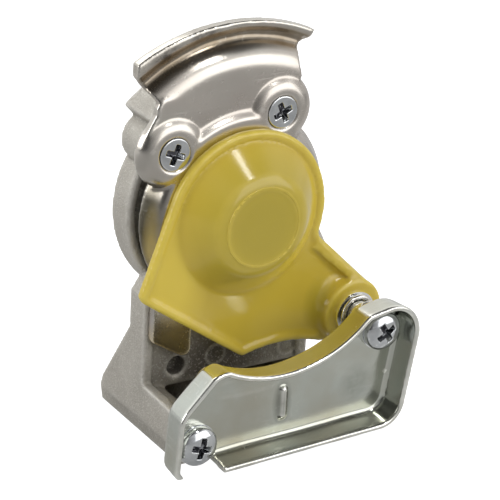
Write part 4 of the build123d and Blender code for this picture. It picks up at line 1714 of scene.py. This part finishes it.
@dataclass
class CoverMoulding:
    """The plastic swivel cover: plate, rim, dome, arm and pivot boss."""

    floor: float = -2.2
    dome_base: float = 23.4
    dome_top: float = 14.2
    dome_height: float = 10.83
    dome_round: float = 6.0
    base_round: float = 1.8
    dome_wall: float = 1.6
    dome_edge: Point2 = (3.0, 1.0)
    apron: Point3 = (-2.0, 3.0, 2.4)
    apron_depth: float = 0.4
    skin: float = 0.03
    skin_steps: Point2 = (1.25, 4.0)
    ring_radius: float = 11.8
    ring_height: float = 0.22
    ring_foot: float = 0.6
    ring_halves: Point2 = (0.55, 0.35)
    ring_round: float = 0.12
    ring_steps: Point2 = (2.0, 15.0)
    voxel: float = 0.58
    soft_passes: int = 13
    softness: Point2 = (0.25, 0.75)
    boss_radius: float = 9.95
    boss_core: float = 7.0
    boss_top: float = -6.1
    bore: float = 4.75
    bore_ends: Point2 = (-12.0, 3.0)
    flare: float = 5.0
    flare_towards: float = 165.0
    flare_levels: int = 8
    flare_sides: int = 96
    sunk: float = 0.8
    arm_wall: tuple[Point3, ...] = ((24.9, -11.2, -3.4), (42.5, -27.0, -5.9))
    arm_width: float = 3.0

    def _dome(self) -> Shape:
        """Turns the round-edged skin over the dome.

        Returns:
            The skin.
        """
        base, top, over = self.dome_base, self.dome_top, -self.dome_height - self.skin
        below, under = self.floor + self.apron_depth, self.dome_wall - self.dome_height
        profile = [
            (base + self.apron[0], below, 0.0),
            (base + self.apron[1], below, 0.0),
            (base + self.apron[2], self.floor - self.skin, 0.0),
            (base + self.skin, self.floor - self.skin, self.base_round),
            (top + self.skin, over, self.dome_round),
            (top - self.dome_edge[0], over, 0.0),
            (top - self.dome_edge[0], under, 0.0),
            (top - self.dome_edge[1], under, 0.0),
        ]
        step, turn = self.skin_steps
        return revolve("dome_skin", round_corners(profile, turn), step=step)

    def _ring(self) -> Shape:
        """Turns the raised ring on the dome.

        Returns:
            The ring.
        """
        dome = -self.dome_height - 2.0 * self.skin
        foot, top, middle = dome + self.ring_foot, dome - self.ring_height, self.ring_radius
        wide, narrow = self.ring_halves
        profile = [
            (middle - wide, foot, 0.0),
            (middle - narrow, top, self.ring_round),
            (middle + narrow, top, self.ring_round),
            (middle + wide, foot, 0.0),
        ]
        step, turn = self.ring_steps
        raised = revolve("dome_ring", round_corners(profile, turn), step=step)
        raised.data.shade_smooth()
        return raised

    def _flank(self) -> Shape:
        """Builds the slanted flank of the pivot boss, widest on the dome's side.

        Returns:
            A closed ring around the boss.
        """
        sides, levels, low = self.flare_sides, self.flare_levels, self.floor + self.sunk
        points = []
        for side in range(sides):
            angle = 360.0 * side / sides
            facing = max(0.0, math.cos(math.radians(angle - self.flare_towards)))
            reach = self.flare * facing
            ring = []
            for level in range(levels + 1):
                share = level / levels
                swell = 1.0 - math.sqrt(max(0.0, 1.0 - share * share))
                depth = self.boss_top + (self.floor - self.boss_top) * share
                ring.append((self.boss_radius + reach * swell, depth))
            ring += [(self.boss_radius + reach, low), (self.boss_core, low)]
            for radius, depth in (*ring, (self.boss_core, self.boss_top)):
                x, z = polar(radius, angle, PIVOT)
                points.append(place(x, depth, z))
        return mesh_object("boss_flank", points, belt(sides, levels + 4))

    def _arm(self) -> Shape:
        """Builds the wall along the arm's upper edge, which rises towards the boss.

        Returns:
            The closed wall.
        """
        (x0, z0, _), (x1, z1, _) = self.arm_wall
        along = Vector((x1 - x0, z1 - z0)).normalized()
        inner = Vector((along.y, -along.x)) * self.arm_width
        points = []
        for x, z, top in self.arm_wall:
            for step in (0.0, 1.0):
                for depth in (self.floor + self.sunk, top):
                    points.append(place(x + inner.x * step, depth, z + inner.y * step))
        faces = [(0, 1, 3, 2), (4, 5, 7, 6), (0, 1, 5, 4), (2, 3, 7, 6), (0, 2, 6, 4), (1, 3, 7, 5)]
        return mesh_object("arm_wall", points, faces)

    def _soften(self, body: Shape) -> None:
        """Smooths the moulding, most of all along its rim.

        Args:
            body: The fused moulding.
        """
        least, more = self.softness
        reach = body.vertex_groups.new(name="soft")
        for vertex in body.data.vertices:
            x, _, height = drawing(vertex.co)
            away = math.hypot(x, height) - self.dome_base
            reach.add([vertex.index], least + more * smooth_step(-1.0, 1.0, away), "REPLACE")
        relax(body, self.soft_passes, "soft")

    def build(self, frame: dict, finish: Material) -> None:
        """Softens the moulding's edges and rounds its dome.

        Args:
            frame: The loaded frame.
            finish: The plastic.
        """
        plain = merged_copy(frame["nodes"]["cover"], "cover_plain")
        solids = [plain, self._dome(), self._flank(), self._arm()]
        body = fuse(join("cover_body", solids), self.voxel, 0)
        self._soften(body)
        bore = rod("bore", self.bore, self.bore_ends, PIVOT)
        carve(body, [bore])
        discard(bore)
        body.data.shade_smooth()
        cover = join("cover_moulding", [body, self._ring()])
        dress(cover, Body.COVER, finish, ["cover"])


@dataclass(frozen=True)
class Screw:
    """One kind of cross-head screw, and where it sits.

    Profiles are radius and depth, from the axis and back to it. The cross is reach,
    width and depth. Spots are x, depth and height of the head, and its turn. Steps are
    the degrees between the sections of the head and of the shank.
    """

    name: str
    head: tuple[Point2, ...]
    shank: tuple[Point2, ...]
    cross: Point3
    mouth: float
    spots: tuple[tuple[Point3, float], ...]
    nodes: tuple[str, ...]
    fine: float = 0.16
    passes: int = 3
    steps: Point2 = (3.75, 7.5)
    cross_top: Point2 = (1.25, -1.0)
    cross_tip: float = 0.55

    @staticmethod
    def _lathe(name: str, profile: Sequence[Point2], step: float) -> Shape:
        """Turns a profile about the frame's own Y axis.

        Args:
            name: The object's name.
            profile: Radius and depth of each corner.
            step: Degrees between two sections.

        Returns:
            The closed solid.
        """
        made = revolve(name, profile, step=step)
        made.data.transform(Matrix.Translation(-place(0.0, 0.0, 0.0)))
        return made

    def _arm(self, turn: float) -> Shape:
        """Builds one arm of the cross recess, narrower towards its point.

        Args:
            turn: The arm's direction in degrees.

        Returns:
            The cutter.
        """
        reach, width, deep = self.cross
        across = polar(width / 2.0, turn + 90.0)
        corners = []
        for share, level in (self.cross_top, (1.0, 0.0), (self.cross_tip, deep)):
            for end, hand in ((1.0, 1.0), (1.0, -1.0), (-1.0, -1.0), (-1.0, 1.0)):
                tip = polar(reach * share * end, turn)
                x, z = tip[0] + across[0] * hand, tip[1] + across[1] * hand
                corners.append(Vector((x, self.mouth + level, z)) * MM)
        faces = [range(4), range(8, 12), *belt(3, 4, whole=False)]
        return mesh_object("recess_arm", corners, faces)

    def build(self, setter: PlacingTree, finish: Material) -> None:
        """Builds the screw at the origin and sets it on its places.

        Args:
            setter: The tree that places it.
            finish: The bright metal.
        """
        arms = [self._arm(turn) for turn in (0.0, 90.0)]
        top = carve(self._lathe("head", self.head, self.steps[0]), arms)
        discard(*arms)
        fuse(top, self.fine, self.passes)
        stem = self._lathe("stem", self.shank, self.steps[1])
        stem.data.shade_smooth()
        spots = [(place(*spot), turn) for spot, turn in self.spots]
        screws = setter.lay(f"{self.name}s", join(self.name, [top, stem]), spots, finish)
        dress(screws, Body.HOUSING, finish, self.nodes)


def pan_head(
    radius: float, height: float, rim: float, bevel: float, parts: int
) -> tuple[Point2, ...]:
    """Draws a domed head that rests on its flat side.

    Args:
        radius: The head's radius.
        height: Its whole height.
        rim: Height of its upright rim.
        bevel: Size of the bevel below the rim.
        parts: Number of parts of the dome.

    Returns:
        Its profile.
    """
    turns = [math.radians(90.0 * part / parts) for part in range(parts + 1)]
    dome = [(radius * math.sin(turn), -rim - (height - rim) * math.cos(turn)) for turn in turns]
    return (*dome, (radius, -bevel), (radius - bevel, 0.0), (0.0, 0.0))


PAN_SCREW = Screw(
    name="pan_screw",
    head=pan_head(radius=6.0, height=3.8, rim=1.4, bevel=0.3, parts=12),
    shank=((0.0, -1.0), (2.9, -1.0), (2.9, 12.0), (0.0, 12.8)),
    cross=(3.5, 1.9, 2.8),
    mouth=-3.8,
    spots=(
        ((BRACKET_CORNER[0], -20.0, BRACKET_CORNER[1]), 14.0),
        ((PIVOT[0], -20.0, PIVOT[1]), -32.0),
    ),
    nodes=("bracket_screw_corner", "bracket_screw_pivot"),
)
CLAW_SCREW = Screw(
    name="claw_screw",
    head=(
        (0.0, 0.02), (2.695, 0.08), (4.7, 0.18), (4.9, 0.35), (2.4, 2.75), (2.4, 3.4),
        (0.0, 3.4),
    ),
    shank=((0.0, 3.0), (2.4, 3.0), (2.4, 14.0), (0.0, 14.6)),
    cross=(3.2, 1.75, 2.4),
    mouth=0.0,
    spots=(((PADS[0][0], 0.0, PADS[0][1]), 20.0), ((PADS[1][0], 0.0, PADS[1][1]), -24.0)),
    nodes=("claw_screw_left", "claw_screw_right"),
)


@dataclass
class Springs:
    """The cover's spring, the valve's spring and the port's thread, all wound wires.

    Each wire is its radius, thickness, height and turns. A spring's foot is the depth
    where it starts, and it rises to the front.
    """

    cover: Sequence[float] = (5.3, 1.4, 9.3, 2.25)
    cover_foot: float = -7.3
    valve: Sequence[float] = (6.4, 1.1, 8.35, 3.0)
    valve_foot: float = 25.5
    thread: Sequence[float] = (10.35, 1.0, 12.6, 8.0)
    thread_start: float = 1.2
    lift: float = 4.5
    stroke: float = 4.0

    @staticmethod
    def _stand(spot: Vector) -> Matrix:
        """Stand for a coil that rises to the front, along -Y."""
        return Matrix.Translation(spot) @ Matrix.Rotation(math.radians(90.0), 4, "X")

    @staticmethod
    def _shorten(coil: Shape, joint: str, travel: float, length: float, seat: Vector) -> None:
        """Gives the spring a mesh of its own; it does not grow shorter.

        Args:
            coil: The wound spring.
            joint: The joint that loads it; not used.
            travel: How far the joint moves the seat; not used.
            length: The spring's length at rest; not used.
            seat: The end that moves with the seat; not used.
        """
        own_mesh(coil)

    def build(self, winder: CoilTree, wire: Material, cast: Material) -> None:
        """Winds the three wires and dresses them.

        Args:
            winder: The tree that winds them.
            wire: The springs' metal.
            cast: The thread's metal.
        """
        foot = place(PIVOT[0], self.cover_foot, PIVOT[1])
        coil = winder.wind("cover_coil", self.cover, self._stand(foot), wire)
        dress(coil, Body.SPRING_SEAT, wire, ["cover_spring"])
        self._shorten(coil, "cover_lift", self.lift, self.cover[2], foot)
        foot = place(0.0, self.valve_foot, 0.0)
        coil = winder.wind("valve_coil", self.valve, self._stand(foot), wire)
        dress(coil, Body.VALVE, wire, ["valve_spring"])
        front = place(0.0, self.valve_foot - self.valve[2], 0.0)
        self._shorten(coil, "valve_stroke", self.stroke, self.valve[2], front)
        stand = Matrix.Translation((0.0, 0.0, self.thread_start * MM))
        ridge = winder.wind("port_thread", self.thread, stand, cast, 1.0)
        dress(ridge, Body.HOUSING, cast)


@dataclass
class FaceSeal:
    """The rubber ring with its grooved lip, which meets the mating head's seal.

    Edges and the groove are outwards and backwards of the radius and face they shape.
    """

    bore: float = 11.0
    bore_edge: tuple[Point2, ...] = ((0.0, 0.9), (0.35, 0.3), (1.0, 0.0))
    grooves: tuple[float, ...] = (13.2, 15.2, 17.2)
    groove: tuple[Point2, ...] = ((-0.55, 0.0), (-0.3, 0.45), (0.3, 0.45), (0.55, 0.0))
    lip: float = 19.0
    lip_edge: tuple[Point2, ...] = ((-0.9, 0.0), (-0.3, 0.3), (0.0, 0.9), (0.0, 2.4))
    neck: float = 17.4
    neck_start: float = 3.6
    pocket: float = 19.15
    face: float = 0.3
    floor: float = 7.0
    foot: float = 2.6
    crease: float = 50.0
    step: float = 3.0

    def build(self, finish: Material) -> None:
        """Turns the ring and dresses it.

        Args:
            finish: The rubber.
        """
        grooves = [(middle, self.groove) for middle in self.grooves]
        profile: list[Point2] = []
        for radius, edge in ((self.bore, self.bore_edge), *grooves, (self.lip, self.lip_edge)):
            profile += [(radius + out, self.face + back) for out, back in edge]
        profile += [
            (self.neck, self.neck_start),
            (self.neck, self.floor - self.foot),
            (self.pocket, self.floor - self.foot),
            (self.pocket, self.floor),
            (self.bore, self.floor),
        ]
        seal = revolve("face_seal_ring", profile, step=self.step)
        seal.data.shade_smooth()
        seal.data.set_sharp_from_angle(angle=math.radians(self.crease))
        dress(seal, Body.HOUSING, finish, ["face_seal"])


@dataclass
class Studio:
    """Floor, lamps, world and camera.

    A ramp is the range of a direction or place, and the strength at its two ends. The
    cards and the room are what polished metal mirrors.
    """

    floor_size: float = 6.0
    floor_tone: float = 0.45
    floor_rough: float = 0.9
    card_right: Ramp = (-0.12, 0.02, 0.0, 1.0)
    card_behind: Ramp = (0.02, 0.12, 0.0, 1.0)
    card_near: Ramp = (-0.18, -0.06, 0.04, 0.30)
    room_right: Ramp = (-0.7, 0.1, 0.1, 0.75)
    room_behind: Ramp = (0.0, 0.5, 0.0, 1.0)
    room_ceiling: Ramp = (0.62, 0.78, 1.0, 0.12)
    room_window: Ramp = (0.30, 0.48, 1.0, 1.35)
    daylight: float = 0.42
    eye: Point3 = (-0.3035, -0.4848, 0.2933)
    right: Point3 = (0.847, -0.5286, 0.0565)
    up: Point3 = (0.1645, 0.3617, 0.9176)
    back: Point3 = (-0.5056, -0.7679, 0.3934)
    lens: float = 151.2
    sensor: float = 36.0
    clip: Point2 = (0.01, 50.0)
    lamps: tuple[tuple[Point3, Point2, float], ...] = (
        ((0.145, -0.54, 0.82), (0.10, 0.30), 1.5), ((0.45, -0.80, 0.30), (0.90, 0.60), 3.0),
        ((-0.90, 0.10, 0.40), (0.50, 0.50), 3.2), ((-0.10, 0.60, 0.75), (0.60, 0.40), 2.2),
    )
    aim: Point3 = (0.0, -0.02, 0.06)

    def build(self, low: float) -> None:
        """Sets the stage.

        Args:
            low: Height of the object's lowest point.
        """
        self._floor(low)
        self._world()
        for index, (spot, size, power) in enumerate(self.lamps):
            self._lamp(f"softbox_{index}", spot, size, power)
        self._camera()
        bpy.context.scene.view_settings.view_transform = "Standard"

    def _camera(self) -> None:
        """Stands the camera where the photograph was taken from."""
        data = bpy.data.cameras.new("portrait")
        data.lens = self.lens
        data.sensor_width = self.sensor
        data.clip_start, data.clip_end = self.clip
        camera = show("portrait", data)
        axes = Matrix((self.right, self.up, self.back)).transposed().to_4x4()
        camera.matrix_world = Matrix.Translation(self.eye) @ axes
        bpy.context.scene.camera = camera

    def _floor(self, low: float) -> None:
        """Lays a pale floor that the camera sees as white.

        Args:
            low: The floor's height.
        """
        half = self.floor_size / 2.0
        corners = [(-half, -half, low), (half, -half, low), (half, half, low), (-half, half, low)]
        mesh = bpy.data.meshes.new("studio_floor")
        mesh.from_pydata(corners, [], [(0, 1, 2, 3)])
        floor = show("studio_floor", mesh)
        material, bench, shader = principled("studio_floor")
        path = bench.add("ShaderNodeLightPath").outputs
        spot = bench.add("ShaderNodeTexCoord").outputs["Object"]
        spot = bench.add("ShaderNodeSeparateXYZ", {0: spot}).outputs
        right = bench.spread(spot["X"], *self.card_right)
        behind = bench.spread(spot["Y"], *self.card_behind)
        near = bench.spread(spot["Y"], *self.card_near)
        card = bench.product(bench.math("MAXIMUM", right, behind), near)
        mirrored = bench.product(path["Is Glossy Ray"], card)
        feeds = {
            "Base Color": (self.floor_tone, self.floor_tone, self.floor_tone, 1.0),
            "Roughness": self.floor_rough,
            "Emission Color": (1.0, 1.0, 1.0, 1.0),
            "Emission Strength": bench.math("MAXIMUM", path["Is Camera Ray"], mirrored),
        }
        bench.fill(shader, feeds)
        mesh.materials.append(material)
        floor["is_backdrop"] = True

    def _world(self) -> None:
        """White where the camera, metal or glass looks out; softer where it lights."""
        world = bpy.data.worlds.new("studio")
        bpy.context.scene.world = world
        world.use_nodes = True
        world.node_tree.nodes.clear()
        bench = NodeBench(world.node_tree)
        path = bench.add("ShaderNodeLightPath").outputs
        seen = bench.math("MAXIMUM", path["Is Camera Ray"], path["Is Transmission Ray"])
        toward = bench.add("ShaderNodeTexCoord").outputs["Generated"]
        toward = bench.add("ShaderNodeSeparateXYZ", {0: toward}).outputs
        right = bench.spread(toward["X"], *self.room_right)
        behind = bench.spread(toward["Y"], *self.room_behind)
        ceiling = bench.spread(toward["Z"], *self.room_ceiling)
        window = bench.spread(toward["Z"], *self.room_window)
        height = bench.product(ceiling, window)
        room = bench.product(bench.math("MAXIMUM", right, behind), height)
        glossy = bench.product(path["Is Glossy Ray"], room)
        others = bench.math("SUBTRACT", 1.0, path["Is Glossy Ray"])
        lit = bench.math("ADD", glossy, bench.product(others, self.daylight))
        feeds = {"Color": (1.0, 1.0, 1.0, 1.0), "Strength": bench.math("MAXIMUM", seen, lit)}
        background = bench.add("ShaderNodeBackground", feeds).outputs[0]
        bench.add("ShaderNodeOutputWorld", {"Surface": background})

    def _lamp(self, name: str, spot: Point3, size: Point2, power: float) -> None:
        """Hangs one soft lamp that looks at the object.

        Args:
            name: The lamp's name.
            spot: Where it hangs, in metres.
            size: Its width and height in metres.
            power: Its power in watts.
        """
        data = bpy.data.lights.new(name, "AREA")
        data.shape = "RECTANGLE"
        data.size, data.size_y = size
        data.energy = power
        lamp = show(name, data)
        lamp.location = spot
        lamp.rotation_mode = "QUATERNION"
        lamp.rotation_quaternion = (Vector(self.aim) - Vector(spot)).to_track_quat("-Z", "Y")


def main() -> None:
    """Loads the frame, builds each piece and sets the stage."""
    logging.basicConfig(level=logging.INFO, format="%(message)s")
    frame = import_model()
    cad_box = [list(corner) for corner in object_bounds()]
    effects = SharedEffects()
    cast = CAST_METAL.build(effects)
    claw = CLAW_METAL.build(effects)
    bracket = BRACKET_METAL.build(effects)
    screw = SCREW_METAL.build(effects)
    wire = SPRING_METAL.build(effects)
    plastic = COVER_PLASTIC.build(effects)
    rubber = RUBBER.build(effects)
    brass = BRASS.build(effects)
    valve = VALVE_PLASTIC.build(effects)
    CastHousing().build(frame, cast)
    ClawPlate().build(claw)
    GuideBracket().build(bracket)
    CoverMoulding().build(frame, plastic)
    setter = PlacingTree()
    PAN_SCREW.build(setter, screw)
    CLAW_SCREW.build(setter, screw)
    Springs().build(CoilTree(), wire, cast)
    FaceSeal().build(rubber)
    kept = {
        "seat_ring": brass,
        "seat_oring": rubber,
        "snap_ring": wire,
        "valve_plunger": valve,
        "valve_washer": rubber,
        "corner_washer": screw,
        "pivot_washer": screw,
        "spring_washer": screw,
        "pivot_sleeve": bracket,
    }
    dress_kept(frame, kept)
    Studio().build(cad_box[0][2])


if __name__ == "__main__":
    main()
